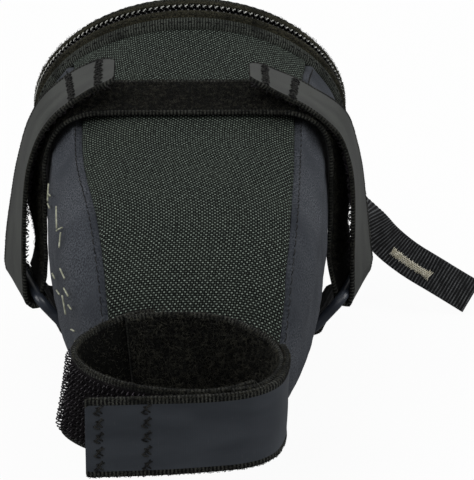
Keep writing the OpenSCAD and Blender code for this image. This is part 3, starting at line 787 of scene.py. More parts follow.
# Station, angle, length in stations and slant in degrees of each printed dash
DASHES = [(6.1, 71, 0.2, -4), (6.0, 69, 0.16, 4), (5.88, 72, 0.18, 3), (5.42, 62, 0.3, -4), (5.2, 61, 0.1, 8),
          (5.05, 63, 0.14, -6), (4.65, 71, 0.22, 2), (4.4, 74, 0.2, 2), (4.18, 76, 0.14, 2),
          (5.05, 84, 0.2, 2), (4.74, 84, 0.18, 2), (4.42, 82, 0.2, -4), (3.96, 83, 0.16, 3),
          (3.76, 84, 0.14, 3)]


def side_print():
    """Short slanted dashes of reflective print on the left side panel."""
    rows = []
    for k, angle, dk, lean in DASHES:
        t = np.linspace(-0.5, 0.5, 9)
        line = skin(k + dk * t, -(angle + lean * t))
        out = unit(line - skin(k + dk * t, -(angle + lean * t), 1.0))
        rows.append(line + out * 0.5)
    return threads(np.array(rows), 0.22, sides=6)


piece("side_print", side_print(), PRINT, "bag")

# ---- Zipper ----

ZIP_SPAN = (180 - ZIP_END, 360 + ZIP_END)
SEWN_SPAN = (ZIP_END + 3, 177 - ZIP_END)


def round_zip(r, angle, z):
    """Points at radius r, angle in degrees from the right over the bottom, and z to the rear."""
    r, angle, z = np.broadcast_arrays(np.asarray(r, float), np.radians(angle), z)
    return from_zip(np.stack([r * np.cos(angle), r * np.sin(angle), z], -1))


def zip_cloth(name, line, t, span, material, body, replaces=(), step=0.55, cord=0.0, pitch=0.8):
    """A strip round the zipper's axis: line holds its outer face's (radius, z) points across."""
    across = spline(line, 5)
    turn = unit(np.gradient(across, axis=0))
    angles = np.linspace(*span, int(math.radians(span[1] - span[0]) * ZIP_R / step))
    along = np.radians(angles - span[0]) * ZIP_R
    sign = 1 if across[-1][1] > across[0][1] else -1
    normal = np.stack([turn[:, 1], -turn[:, 0]], 1) * sign
    v = lengths(across)
    bulge = cord * np.sin(2 * np.pi * along[:, None] / pitch) * np.sin(np.pi * v / v[-1])[None]
    under = across - normal * t
    outer = round_zip(across[:, 0] + bulge * normal[:, 0], angles[:, None],
                      across[:, 1] + bulge * normal[:, 1])
    inner = round_zip(under[None, :, 0], angles[:, None], under[None, :, 1])
    uv = np.stack(np.broadcast_arrays(along[:, None], v[None]), -1).reshape(-1, 2)
    return piece(name, sheet(outer, inner), material, body, replaces, uv=np.vstack([uv, uv]))


def wire(path, about, r, sides=6):
    """Round wire along a path that winds about the line of points given."""
    along = unit(np.gradient(path, axis=0))
    ref = path - about
    first = unit(ref - (ref * along).sum(1, keepdims=True) * along)
    second = np.cross(along, first)
    a = np.linspace(0, 2 * np.pi, sides, endpoint=False)[None, :, None]
    return loft(path[:, None] + r * (first[:, None] * np.cos(a) + second[:, None] * np.sin(a)))


COIL_PITCH = 1.6
COIL_MID = 42.15


def coil(name, side, body, node):
    """One coil row: a wire wound along the edge of its tape."""
    length = math.radians(ZIP_SPAN[1] - ZIP_SPAN[0]) * ZIP_R
    turns = int(length / COIL_PITCH)
    phase = np.linspace(0, turns * 2 * np.pi, turns * 12)
    angles = np.linspace(*ZIP_SPAN, len(phase))
    start = 0 if side > 0 else np.pi
    r = COIL_MID + 0.5 * np.sin(phase + start)
    z = side * (0.85 + 0.62 * np.cos(phase + start))
    about = round_zip(COIL_MID, angles, side * 0.85)
    piece(name, wire(round_zip(r, angles, z), about, 0.27), COIL, body, [node])


def coil_glint_stitches():
    """Slanted stitches over the flap's coil, one a turn, whose near-white colour is a painted highlight of
    the coil.
    """
    count = int(math.radians(ZIP_SPAN[1] - ZIP_SPAN[0]) * ZIP_R / COIL_PITCH)
    middle = np.linspace(ZIP_SPAN[0] + 1, ZIP_SPAN[1] - 1, count)
    t = np.linspace(-0.5, 0.5, 5)
    angles = middle[:, None] + 0.95 * t[None]
    r = 42.85 + 0.16 * np.cos(np.pi * t)[None]
    return threads(round_zip(r, angles, 0.5 + 0.75 * t[None]), 0.17)


def zip_fuzz(count, z_range, r, tall):
    """Short fibres standing on a brushed strip round the zipper."""
    def at(s, v, h):
        return round_zip(r + h, ZIP_SPAN[0] + np.degrees(s / ZIP_R), v)
    span = math.radians(ZIP_SPAN[1] - ZIP_SPAN[0]) * ZIP_R
    return threads(fuzz_paths(at, count, (1, span - 1), z_range, tall, 0.5), 0.045, 3)


TAPE_LINE = [(42.75, 1.0), (43.05, 1.2), (43.15, 1.7), (42.95, 2.4), (42.5, 3.0)]
BODY_TAPE = [(r, -z) for r, z in TAPE_LINE] + [(42.0, -3.5), (41.5, -4.3), (41.25, -6.2)]
FLAP_TAPE = TAPE_LINE + [(41.9, 3.5), (41.3, 4.0), (40.9, 4.7)]
BODY_BIND = [(41.9, -3.15), (42.45, -3.3), (42.75, -3.9), (42.8, -4.9), (42.65, -5.8), (42.3, -6.5),
             (41.7, -7.0)]
FLAP_BIND = [(41.5, 3.5), (41.55, 4.1), (41.2, 4.8), (40.5, 5.35)]
DOME_LINE = [(0, 11), (8, 11), (16, 10.9), (22, 10.7), (27, 10.3), (31, 9.6), (34.5, 8.6), (37, 7.5),
             (39, 6.3), (40.2, 5.4), (40.9, 4.6)]

zip_cloth("zip_tape_front", BODY_TAPE, 0.45, ZIP_SPAN, TAPE, "bag", ["zip_tape_body"], cord=0.04)
zip_cloth("zip_tape_rear", FLAP_TAPE, 0.45, ZIP_SPAN, TAPE, "flap", ["zip_tape_flap"], cord=0.04)
zip_cloth("zip_binding_front", BODY_BIND, 0.6, ZIP_SPAN, BINDING, "bag", ["zip_binding_body"],
          cord=0.07)
zip_cloth("zip_binding_rear", FLAP_BIND, 0.5, ZIP_SPAN, BINDING, "flap", ["zip_binding_flap"],
          cord=0.05)
coil("zip_coil_front", -1, "bag", "zip_coil_body")
coil("zip_coil_rear", 1, "flap", "zip_coil_flap")
piece("zip_coil_glint", coil_glint_stitches(), COIL_GLINT, "flap")
piece("zip_fuzz_front", zip_fuzz(2600, (-2.9, -1.1), 43.0, 0.3), PILE_FIBRE, "bag")
piece("zip_fuzz_rear", zip_fuzz(2600, (1.1, 2.9), 43.0, 0.3), PILE_FIBRE, "flap")


def binding_stitches(z, r, span, body, name):
    angles = np.linspace(*span, 300)
    line = round_zip(r, angles, z)
    out = unit(line - round_zip(r - 1, angles, z))
    piece(name, threads(stitch_paths(line, out, 1.7, 0.8, 0.14, 0.2), 0.15), DARK_THREAD, body)


binding_stitches(-5.2, 42.78, ZIP_SPAN, "bag", "binding_thread_front")
binding_stitches(4.5, 41.35, ZIP_SPAN, "flap", "binding_thread_rear")


def disc(radius, count=84):
    """Even grid over a disc, as x and y."""
    t = np.linspace(-1, 1, count)
    a, b = np.meshgrid(t, t)
    return radius * a * np.sqrt(1 - b**2 / 2), radius * b * np.sqrt(1 - a**2 / 2)


def dome(name, radius, line, t, material, body, replaces, lumps, keep_above=None):
    """A shallow dome or disc over the rear, from its profile (radius, z)."""
    x, y = disc(radius)
    if keep_above is not None:
        y = -radius + (y + radius) * (keep_above + radius) / (2 * radius)
        half = np.sqrt(np.clip(radius**2 - y**2, 0, None))
        x = x * half / np.maximum(np.abs(x).max(1, keepdims=True), 1e-6)
    profile = spline(line, 5)
    r = np.hypot(x, y)
    z = np.interp(r, profile[:, 0], profile[:, 1])
    z = z + lumps * ripple(x, y, 22, 8) * np.clip((radius - r) / 6, 0, 1)
    small = 1 - t / 40
    outer = from_zip(np.stack([x, y, z], -1))
    inner = from_zip(np.stack([x * small, y * small, z - t], -1))
    uv = np.stack([x, y], -1).reshape(-1, 2)
    return piece(name, sheet(outer, inner), material, body, replaces, uv=np.vstack([uv, uv]))


FOLD_BLEND = ("flap", "bag", from_zip([0, FOLD_AT - 2.2, 8]), from_zip([0, FOLD_AT + 2.2, 8]))
dome("rear_cloth", 40.9, DOME_LINE, 0.8, SIDE_CLOTH, FOLD_BLEND, ["rear_panel"], 0.35)
dome("rear_foam_pad", 37.5, [(r, z - 1.5) for r, z in DOME_LINE], 1.0, FOAM, "flap", ["rear_foam"],
     0.0, keep_above=22)
dome("rear_lining_cloth", 38.4, [(0, 5.4), (30, 5.2), (38.4, 4.4)], 0.4, LINING, "flap",
     ["rear_lining"], 0.25, keep_above=23)
zip_cloth("rear_gusset", [(41.2, 4.7), (41.6, 3.6), (41.7, 2), (41.75, 0), (41.7, -3), (41.6, -6.2)], 0.8,
          SEWN_SPAN, SIDE_CLOTH, "bag", ["rear_sill"])
zip_cloth("gusset_binding_rear", [(41.7, 3.4), (42.05, 4.1), (41.8, 4.9), (41.1, 5.4)], 0.7, SEWN_SPAN,
          BINDING, "bag", cord=0.07)
zip_cloth("gusset_binding_front", [(41.7, -5.2), (42.1, -5.8), (42.2, -6.4), (41.7, -7.0)], 0.7, SEWN_SPAN,
          BINDING, "bag", cord=0.07)


def plate(outline, heights, inset):
    """A plate with rounded edges: an outline function of a scale, stacked at heights with insets."""
    return loft(np.array([outline(h, i) for h, i in zip(heights, inset)]))


def oval(length, width, square=3.0, count=28):
    a = (np.arange(count) + 0.5) * 2 * np.pi / count
    return np.stack([length * power(np.cos(a), square), width * power(np.sin(a), square)], 1)


def slider_place(radial, along, z):
    """Points of the slider's own frame in the object's frame."""
    turn = math.radians(SLIDER_AT)
    radial, along, z = np.broadcast_arrays(np.asarray(radial, float), along, z)
    return from_zip(np.stack([radial * math.cos(turn) - along * math.sin(turn),
                              radial * math.sin(turn) + along * math.cos(turn), z], -1))


BAIL_AT = 47.0
LINK_TURN = 49


def pull_place(x, y, z):
    """Points of the pull's own frame, x along the link, in the object's frame."""
    turn = math.radians(LINK_TURN)
    x, y, z = np.broadcast_arrays(np.asarray(x, float), y, z)
    return slider_place(BAIL_AT + x * math.cos(turn) - y * math.sin(turn),
                        x * math.sin(turn) + y * math.cos(turn), z)


def slider():
    """Two rounded wings with flanges, the nose post between them and the bail."""
    def wing(r0, r1, grow):
        def ring(r, inset):
            shape = oval(4.9 - inset, 3.1 + grow - inset)
            taper = 1 - 0.16 * np.clip(-shape[:, 0] / 4.9, 0, 1)
            return slider_place(r, shape[:, 0], shape[:, 1] * taper)
        return plate(ring, np.linspace(r0, r1, 5), [0.35, 0.08, 0, 0.08, 0.35])

    def post(r, inset):
        shape = oval(0.9 - inset, 0.24 - inset, 2)
        return slider_place(r, 3.5 + shape[:, 0], shape[:, 1])
    bow = spline([(43.9, -2.0), (45.6, -2.05), (46.8, -1.6), (47.0, 0), (46.8, 1.6), (45.6, 2.05),
                  (43.9, 2.0)], 6)
    path = slider_place(bow[:, 0], 0, bow[:, 1])
    bail = wire(path, slider_place(44.5, 0, bow[:, 1] * 0.2), 0.72, 12)
    return join(wing(39.1, 40.0, 0), wing(43.75, 44.9, 0.05),
                plate(post, np.linspace(39.8, 43.9, 4), [0] * 4), bail)


def link():
    """Eye round the bail, tapered shank and the slotted frame that holds the ribbon."""
    a = np.linspace(0, 2 * np.pi, 28, endpoint=False)
    rearward = unit(from_zip([0, 0, 1]) - ZIP_CENTRE)
    eyes = [ring_tube(pull_place(1.4 * np.cos(a), 1.4 * np.sin(a), z), 0.5, 10, up=rearward)
            for z in (-0.55, 0.55)]

    def shank(y, inset):
        shape = oval(5.5 - inset, 1.25 - inset, 4)
        return pull_place(7.0 + shape[:, 0], y, shape[:, 1] * (1 + 0.5 * (shape[:, 0] / 5.5 > 0.6)))
    frame_shape = oval(2.1, 6.0, 5, 60)
    slot = ring_tube(pull_place(14.2 + frame_shape[:, 0], 0, frame_shape[:, 1]), 0.72, 10,
                     up=unit(pull_place(0, 1, 0) - pull_place(0, 0, 0)))
    return join(*eyes, plate(shank, np.linspace(-0.7, 0.7, 5), [0.3, 0.06, 0, 0.06, 0.3]), slot)


piece("slider_body", slider(), METAL, "slider", ["zip_slider"])
piece("pull_frame", link(), METAL, "pull", ["pull_link"])


def stops():
    """A crimped stop at each end of the coil."""
    made = []
    for side in (-1, 1):
        angle = ZIP_END + 2.2 if side > 0 else 180 - ZIP_END - 2.2

        def ring(r, inset):
            shape = oval(1.2 - inset, 1.55 - inset, 4)
            return round_zip(r, angle + np.degrees(shape[:, 0] / ZIP_R), shape[:, 1])
        made.append(plate(ring, np.linspace(41.5, 43.3, 5), [0.25, 0.05, 0, 0.05, 0.3]))
    return join(*made)


piece("zip_end_stops", stops(), METAL, "bag", ["zip_stops"])

# ---- Pull ribbon ----

RIBBON_PATH = [(47.05, 82.1, -68.6), (47.8, 83.2, -71.3), (50.8, 82, -75.6), (55.4, 76.8, -79.6),
               (61.6, 71.4, -82.8), (70, 68.4, -87.2), (79.6, 65.6, -92.4)]
RIBBON_ACROSS = [(0, 0.91, 0.41), (0.1, 0.88, 0.43), (0.35, 0.75, 0.5), (0.45, 0.6, 0.62), (0.5, 0.44, 0.75),
                 (0.52, 0.37, 0.77), (0.52, 0.37, 0.77)]
RIBBON_W = 10
RIB_PITCH = 0.92
ribbon = Band(spline(RIBBON_PATH, 8), unit(spline(RIBBON_ACROSS, 8)), step=RIB_PITCH / 5)


def ribbon_layer(name, lift, lag, replaces=()):
    """One layer of the folded ribbon, ribbed across, with a slight wave along its edges."""
    def ribs(s, v):
        return 0.1 * np.sin(2 * np.pi * (s + 0.25 * np.sin(v * 0.5 + s * 0.21)) / RIB_PITCH)
    layer = Band(ribbon.at(ribbon.s[:len(ribbon.s) - lag], 0, lift), ribbon.across[:len(ribbon.s) - lag],
                 RIB_PITCH / 5)
    data, uv, _ = layer.mesh(RIBBON_W, 0.42, relief=ribs, edge_w=0.5, cut=14)
    points, faces = data
    s = uv[:, 0]
    points = points + 0.22 * np.sin(s * 0.42 + 1)[:, None] * (uv[:, 1:] / 5) * layer.out[len(layer.s) // 2]
    piece(name, (points, faces), GROSGRAIN, "pull", replaces, uv=uv)


ribbon_layer("ribbon_front", 0.28, 0, ["pull_ribbon"])
ribbon_layer("ribbon_back", -0.28, 3)


def tack():
    """Lengthwise bar tack: a few long threads under a dense zigzag."""
    start, end = 0.35 * ribbon.s[-1] + 4.6, 0.35 * ribbon.s[-1] + 17
    t = np.linspace(-0.5, 0.5, 6)
    cross = []
    for i, s in enumerate(np.linspace(start, end, 46)):
        lean = 0.42 if i % 2 else -0.42
        half = 1.0 + rng.uniform(-0.2, 0.3) + 0.3 * (i > 42)
        cross.append(ribbon.at(s + lean * 2 * t, 2 * half * t - 1.1, 0.62 + 0.22 * np.cos(np.pi * t)))
    core = [ribbon.at(np.linspace(start, end, 6), v, 0.66) for v in (-1.5, -1, -0.5)]
    return join(threads(np.array(cross), 0.13), threads(np.array(core), 0.2))


piece("ribbon_tack_thread", tack(), TACK_THREAD, "pull", ["ribbon_tack"])

# ---- Rail straps, drawn for the right side ----

STRIP_T = 0.9
FLARE_Z = [-62, -50, -35, -15, -5, 6, 9]
FLARE = [0.3, 0.3, 0.21, 0.09, 0.07, 0.08, 0]


def flare(mesh_data):
    """Turns a strap outwards at its rear edge, as the bag's side does, and lowers that edge at the tab."""
    points, faces = mesh_data
    points = np.array(points, float)
    turn = np.interp(points[:, 2], FLARE_Z, FLARE)
    points[:, 0] += np.sign(points[:, 0]) * points[:, 1] * turn
    twist = np.where(points[:, 0] < 0, 0.06, 0.15)
    points[:, 2] -= twist * (points[:, 1] + STRAP_W / 2) * np.clip((points[:, 2] + 10) / 12, 0, 1)
    return points, faces


def hug(mesh_data):
    """Turns the inner band so that its front edge lies against the bag's side."""
    points, faces = mesh_data
    points = np.array(points, float)
    left = points[:, 0] < 0
    heights = [-62, -50, -43, -32, -20, -9, -2]
    turn = np.where(left, np.interp(points[:, 2], heights, [0.3, 0.14, 0.14, 0.26, 0.28, 0.12, 0]),
                    np.interp(points[:, 2], heights, [0.3, 0.28, 0.28, 0.28, 0.28, 0.12, 0]))
    points[:, 0] += np.sign(points[:, 0]) * points[:, 1] * turn
    fuller = np.interp(points[:, 2], [-46, -36, -14, -4], [0, 1.2, 1.2, 0])
    points[:, 0] -= np.where(left, fuller, 0)
    return points, faces


def in_plane(line):
    """A line in the XZ plane as points in space."""
    line = np.asarray(line, float)
    return np.stack([line[:, 0], np.zeros(len(line)), line[:, 1]], 1)


FOLD_R = 2.1
INNER_LINE = [(0, 1.05), (6, 1.05), (12, 1.05), (17, 1.05), (22, 0.95), (26.5, 0.6), (31, -1.1),
              (35, -4.6), (37.6, -10.5), (38.9, -19), (39.1, -30), (38.7, -41),
              (OUTER_BAR[0] - FOLD_R, OUTER_BAR[1])]
TAIL_LINE = {-1: [(46.3, -51), (46.1, -43), (45.3, -33), (44, -22), (42.2, -13)],
             1: [(45.2, -51), (44.7, -43), (44.2, -33), (43.4, -22), (41.8, -13)]}
TAIL_END = {-1: [(39.4, -5.6), (36, -0.5), (32, 3.3), (27.2, 6.6), (23, 8.6), (19.4, 9.6)],
            1: [(39.2, -6), (35, -1.2), (30.5, 2.4), (26, 5), (22, 7), (18.5, 8.8), (15.4, 9.9)]}
HOOK_PITCH = 1.35
ACROSS = (0, 1, 0)


def strap_pieces(side, word):
    """One side's strap: pile band over the top, fold round the ring, coated tail, hooks and stitches."""
    loop, tail = f"loop_{word}", f"tail_{word}"
    inner = Band(in_plane(spline(INNER_LINE, 6)), ACROSS, 0.45)
    face = -1 if inner.out[0][2] < 0 else 1

    data, uv, parts = inner.mesh(STRAP_W, STRIP_T, relief=selvedge(STRAP_W, 0.09))
    order = sides(face, PILE, WEB_BLACK)
    hang = ("bag", loop, (0, 0, -35), (0, 0, -50))
    piece(f"rail_band_{word}", hug(mirrored(data, side)), order, hang,
          ["rail_strap_centre", f"rail_strap_{word}"], uv=uv, parts=parts)
    end = inner.s[-1]
    loops = fuzz_paths(inner.at, 5200, (0.2, end - 6), (-8.6, 8.6), 0.55, 0.9, 5, True, STRIP_T / 2, face)
    hairs = fuzz_paths(inner.at, 500, (0.2, end - 6), (-8.6, 8.6), 1.0, 1.4, 5, False, STRIP_T / 2, face)
    edge = rim_loops(inner.at, 500, (0.2, end - 4), (-9.9, 9.4), 0.5, 0.3, 0.5, STRIP_T / 2, (face,))
    fibres = join(threads(loops, 0.05, 3), threads(hairs, 0.04, 3), threads(edge, 0.06, 3))
    piece(f"rail_pile_{word}", hug(mirrored(fibres, side)), PILE_FIBRE, hang)

    turn = arc(OUTER_BAR, FOLD_R, 181, 250, 8).tolist()
    turn += [(43, -54.7), (44.4, -54.9), (TAIL_LINE[side][0][0] - 0.4, -53.6)]
    outer = Band(in_plane(np.vstack([turn, spline(TAIL_LINE[side] + TAIL_END[side], 6)])), ACROSS, 0.45)
    out = 1 if outer.out[len(outer.s) // 2][0] > 0 else -1

    def wear_and_sheen(s, v):
        return selvedge(STRAP_W, 0.12)(s, v) + 0.05 * ripple(s, v, 11, 4)
    data, uv, parts = outer.mesh(STRAP_W, 0.95, ends=(0, 4.5), relief=wear_and_sheen)
    order = sides(out, COAT_GREY, HOOK_WEB)
    way = np.array([side, 0, 0.6]) / 1.36
    peel = (loop, tail, 9.2 * way, 14.6 * way)
    piece(f"tail_band_{word}", flare(mirrored(data, side)), order, peel,
          [f"rail_tail_{word}", f"rail_fold_{word}"], uv=uv, parts=parts)

    end = outer.s[-1]
    rows = []
    t = np.linspace(-0.5, 0.5, 5)
    for s0 in (end - 4.2, end - 12.6):
        for v0 in np.arange(-8.6, 8.7, 1.75):
            for lean in (-1, 1):
                wander = rng.uniform(-0.3, 0.3, 2)
                rows.append(outer.at(s0 + wander[0] + 1.9 * t, v0 + wander[1] + 1.5 * lean * t,
                                     out * (0.4 + 0.5 * np.cos(np.pi * t))))
    cross = threads(np.array(rows), 0.24)
    piece(f"tail_thread_{word}", flare(mirrored(cross, side)), DARK_THREAD, tail)

    start = 16
    grid_s, grid_v = scattered(np.arange(start, end - 1.5, HOOK_PITCH), np.arange(-8.4, 8.5, HOOK_PITCH))
    bend = np.linspace(0, 1, 8)
    reach = 0.6 * (1 - np.cos(np.pi * bend * 1.35)) / 2
    tall = 1.15 * np.sin(np.pi * bend * 0.72)
    twist = rng.uniform(-0.5, 0.5, len(grid_s))[:, None]
    way_s = np.where(rng.uniform(size=len(grid_s)) < 0.5, -1, 1)[:, None]
    hooks = outer.at(grid_s[:, None] + reach[None] * way_s, grid_v[:, None] + reach[None] * twist,
                     -out * (0.35 + tall[None]))
    piece(f"tail_hooks_{word}", flare(mirrored(threads(hooks, 0.15), side)), HOOK, tail,
          [f"rail_hooks_{word}"])
    edges = rim_loops(outer.at, 1500, (15, end - 4), (-9.95, 9.25), 0.7, 0.28, 0.45, 0.35, (-1, 1))
    piece(f"tail_fibres_{word}", flare(mirrored(threads(edges, 0.055, 3), side)), PILE_FIBRE, tail)


def ring_line(half, corner=2.6):
    """Middle line of a ring: a rounded rectangle round its two bars."""
    run = LOWER_BAR - OUTER_BAR
    wide = np.linalg.norm(run)
    along = np.concatenate([arc((half - corner, wide / 2 - corner), corner, 90, 0, 7),
                            arc((half - corner, corner - wide / 2), corner, 0, -90, 7),
                            arc((corner - half, corner - wide / 2), corner, 270, 180, 7),
                            arc((corner - half, wide / 2 - corner), corner, 180, 90, 7)])
    spot = (OUTER_BAR + LOWER_BAR) / 2 + along[:, 1:] * run / wide
    return np.stack([spot[:, 0], along[:, 0], spot[:, 1]], 1)


def finer_ring(line, step=0.5):
    closed = even(np.vstack([line, line[:1]]), step)
    return closed[:-1]


def ring_pieces(side, word):
    """The plastic ring and the webbing loop that anchors it."""
    run = LOWER_BAR - OUTER_BAR
    normal = unit(np.array([run[1], 0, -run[0]]))
    ring = ring_tube(finer_ring(ring_line(STRAP_W / 2 + 1.9)), BAR_R, 16, up=normal)
    piece(f"ring_body_{word}", flare(mirrored(ring, side)), RING_PLASTIC, f"loop_{word}",
          [f"ring_{word}"])
    wrap_r = BAR_R + 0.55
    path = np.vstack([[(27.2, -65.9), (31.3, -64.7)], arc(LOWER_BAR, wrap_r, 262, 504, 24),
                      [(32.4, -62.2), (30.6, -63.5), (27.6, -64.8)]])
    loop = Band(in_plane(even(path, 0.4)), ACROSS, 0.4)
    data, uv, parts = loop.mesh(STRAP_W, 0.9, relief=selvedge(STRAP_W, 0.1))
    piece(f"anchor_band_{word}", flare(mirrored(data, side)), (WEB_BLACK, WEB_BLACK, SELVEDGE), "bag",
          [f"ring_anchor_{word}"], uv=uv, parts=parts)
    out = 1 if loop.out[2][2] < 0 else -1
    rows = [loop.at(s, v, out * 0.47) for s in (1.2, 3.2) for v in [np.linspace(-9, 9, 40)]]
    face = loop.out[2] * out
    sewn = [stitch_paths(line, np.broadcast_to(face, line.shape), 1.6, 0.6, 0.2) for line in rows]
    edges = rim_loops(loop.at, 260, (3, loop.s[-1] - 3), (-9.9, 9.4), 0.5, 0.3, 0.4, 0.3, (-1, 1))
    piece(f"anchor_thread_{word}", flare(mirrored(threads(np.concatenate(sewn), 0.17), side)), DARK_THREAD,
          "bag")
    piece(f"anchor_fibres_{word}", flare(mirrored(threads(edges, 0.055, 3), side)), PILE_FIBRE, "bag")


for side, word in ((-1, "left"), (1, "right")):
    strap_pieces(side, word)
    ring_pieces(side, word)

# ---- Seatpost strap ----

POST_MID = POST_TOP - POST_W / 2
# Edges of each part of the strap: (x, y), and z where it isn't the strap's own
WALL_LOW = [(-14, -101.4, -30.6), (-8, -101.2, -30.5), (0, -101, -30.8), (6, -101.6, -31.6), (11.6, -103.6),
            (16, -107.8), (18.9, -112.4), (20, -118), (19.4, -123), (17, -127.2), (12.8, -130.2), (8, -131.4)]
WALL_TOP = [(-15.5, -95.4), (-9.5, -90.6, -13.6), (-2, -89.8, -13.9), (6, -91.6, -13.7), (12, -96.6),
            (16.8, -102), (20, -108), (21.2, -113.6), (20.7, -119.2), (19.2, -123.8), (16.2, -127.2),
            (11, -129.6)]
HOOK_LOW = [(-7, -99.6, -30.4), (-14, -100.2, -30.6), (-21, -103.2, -31.6), (-27.2, -107.2),
            (-30.2, -111.8), (-30.4, -116), (-27.6, -120.4), (-23, -124.2), (-15, -128.2), (-6, -130.6),
            (3, -130.8), (10, -129.6), (15, -126.8)]
HOOK_TOP = [(-8, -88.8, -13.6), (-15.5, -94.2), (-21, -98.8), (-25.2, -103.8), (-27.1, -108),
            (-27.2, -111.8), (-25.8, -116.4), (-22.2, -121.4), (-15.8, -126.2), (-8.8, -129), (0, -130.4),
            (8.1, -129.4), (16.1, -124.9)]
TAIL_LOW = [(-25, -136.3), (-15, -135.9), (-4.4, -135), (6, -133.7), (12, -132.5), (16, -130.6), (19, -127.6),
            (21, -122.8), (21.7, -117), (20.6, -111)]
TAIL_TOP = [(-24.4, -133.9), (-17, -133.7), (-10.6, -133.4), (0, -133), (8, -132.2), (13.5, -130.8),
            (18, -127.8), (20.9, -123.6), (22.4, -117.6), (22.5, -112), (20.9, -105.8)]


def wall_band(low, top, step=0.45):
    """A standing band given by its two edges."""
    edges = []
    for points, z in ((low, POST_TOP - POST_W), (top, POST_TOP)):
        line = spline([(*p, z)[:3] for p in points], 6)
        share = lengths(line) / lengths(line)[-1]
        edges.append(np.stack([np.interp(np.linspace(0, 1, 90), share, line[:, i]) for i in range(3)], 1))
    low3, top3 = edges
    return Band((low3 + top3) / 2, unit(top3 - low3), step)


# Slant, shift across and shift along of the threads of one cross stitch
STITCH_MESS = [(-1, 0, 0.2), (1, 0, -0.2), (0.3, 0.9, 0.5), (-0.4, -0.9, -0.4), (1.4, 0.5, 0.1)]


def post_strap():
    """Pile half, hook half and coated tail of the strap round the seatpost."""
    wall = wall_band(WALL_LOW, WALL_TOP)
    inward = 1 if wall.out[4][1] < 0 else -1
    relief = selvedge(POST_W, 0.1)

    def soft(s, v):
        return relief(s, v) + 0.18 * ripple(s, v, 16, 9)
    data, uv, parts = wall.mesh(POST_W, 1.2, relief=soft)
    order = sides(inward, PILE, WEB_BLACK)
    piece("post_pile_band", data, order, "bag", ["post_strap_pile"], uv=uv, parts=parts)
    end = wall.s[-1]
    reach, wide = (0.3, end - 1), (-9.6, 9.6)
    loops = fuzz_paths(wall.at, 8000, reach, wide, 0.6, 1.0, 5, True, 0.6, inward)
    hairs = fuzz_paths(wall.at, 900, reach, wide, 1.3, 2.4, 6, False, 0.6, inward)
    edge = fuzz_paths(wall.at, 900, reach, (9.2, 9.95), 0.35, 0.5, 4, True, 0.6, -inward)
    fibres = join(threads(loops, 0.05, 3), threads(hairs, 0.045, 3), threads(edge, 0.06, 3))
    piece("post_pile_fibres", fibres, PILE_FIBRE, "bag")

    hooks = wall_band(HOOK_LOW, HOOK_TOP)
    outward = -1 if hooks.out[4][1] < 0 else 1
    data, uv, parts = hooks.mesh(POST_W, 1.0, ends=(0, 1.5), relief=relief)
    order = sides(outward, HOOK_WEB, PILE)
    piece("post_hook_band", data, order, "bag", ["post_strap_hooks"], uv=uv, parts=parts)
    end = hooks.s[-1]
    grid_s, grid_v = scattered(np.arange(5, end - 1, 1.3), np.arange(-8.6, 8.7, 1.45))
    bend = np.linspace(0, 1, 8)
    reach = 0.85 * (1 - np.cos(np.pi * bend)) / 2
    tall = 1.5 * np.sin(np.pi * bend * 0.9)
    twist = rng.uniform(-0.3, 0.3, len(grid_s))[:, None]
    made = hooks.at(grid_s[:, None] + reach[None] * twist, grid_v[:, None] + reach[None],
                    outward * (0.4 + tall[None]))
    piece("post_hooks", threads(made, 0.17), HOOK, "bag")
    rim = rim_loops(hooks.at, 900, (0.3, end - 1), (9.2,), 0.75, 0.3, 0.5, 0.5, (-1, 1))
    inner = fuzz_paths(hooks.at, 2600, (0.3, end - 1), (-9.6, 9.6), 0.5, 0.9, 5, True, 0.5, -outward)
    piece("post_hook_fibres", join(threads(rim, 0.055, 3), threads(inner, 0.05, 3)), PILE_FIBRE, "bag")

    tail = wall_band(TAIL_LOW, TAIL_TOP)
    face = 1 if tail.out[4][1] < 0 else -1

    def wear_and_sheen(s, v):
        return selvedge(POST_W, 0.14, band=1.9)(s, v) + 0.07 * ripple(s, v, 14, 2)
    data, uv, parts = tail.mesh(POST_W, 1.3, ends=(1.2, 0), relief=wear_and_sheen, edge_w=1.7)
    order = sides(face, COAT_NAVY, PILE)
    bend_off = ("post_end", "bag", (0, -135, 0), (0, -114, 0))
    piece("post_tail_band", data, order, bend_off, ["post_tail", "post_tail_pile"], uv=uv,
          parts=parts)
    end = tail.s[-1]
    t = np.linspace(-0.5, 0.5, 5)
    rows = []
    for s0 in (3.1, 14.2):
        for v0 in (-7.2, -3.6, 0.1, 3.6, 7.0):
            for way, lift, off in STITCH_MESS:
                rows.append(tail.at(s0 + off + 1.5 * t, v0 + lift + 1.5 * way * t,
                                    face * (0.62 + 0.4 * np.cos(np.pi * t))))
    piece("post_tail_thread", threads(np.array(rows), 0.2), DARK_THREAD, "post_end")
    edges = rim_loops(tail.at, 1500, (0.2, end - 0.3), (-9.95, 8.75), 1.2, 0.32, 0.5, 0.5, (-1, 1))
    inner = fuzz_paths(tail.at, 1500, (0.4, end - 0.5), (-9, 9), 0.5, 0.8, 5, True, 0.6, -face)
    fibres = join(threads(edges, 0.055, 3), threads(inner, 0.05, 3))
    piece("post_tail_fibres", fibres, PILE_FIBRE, bend_off)


post_strap()


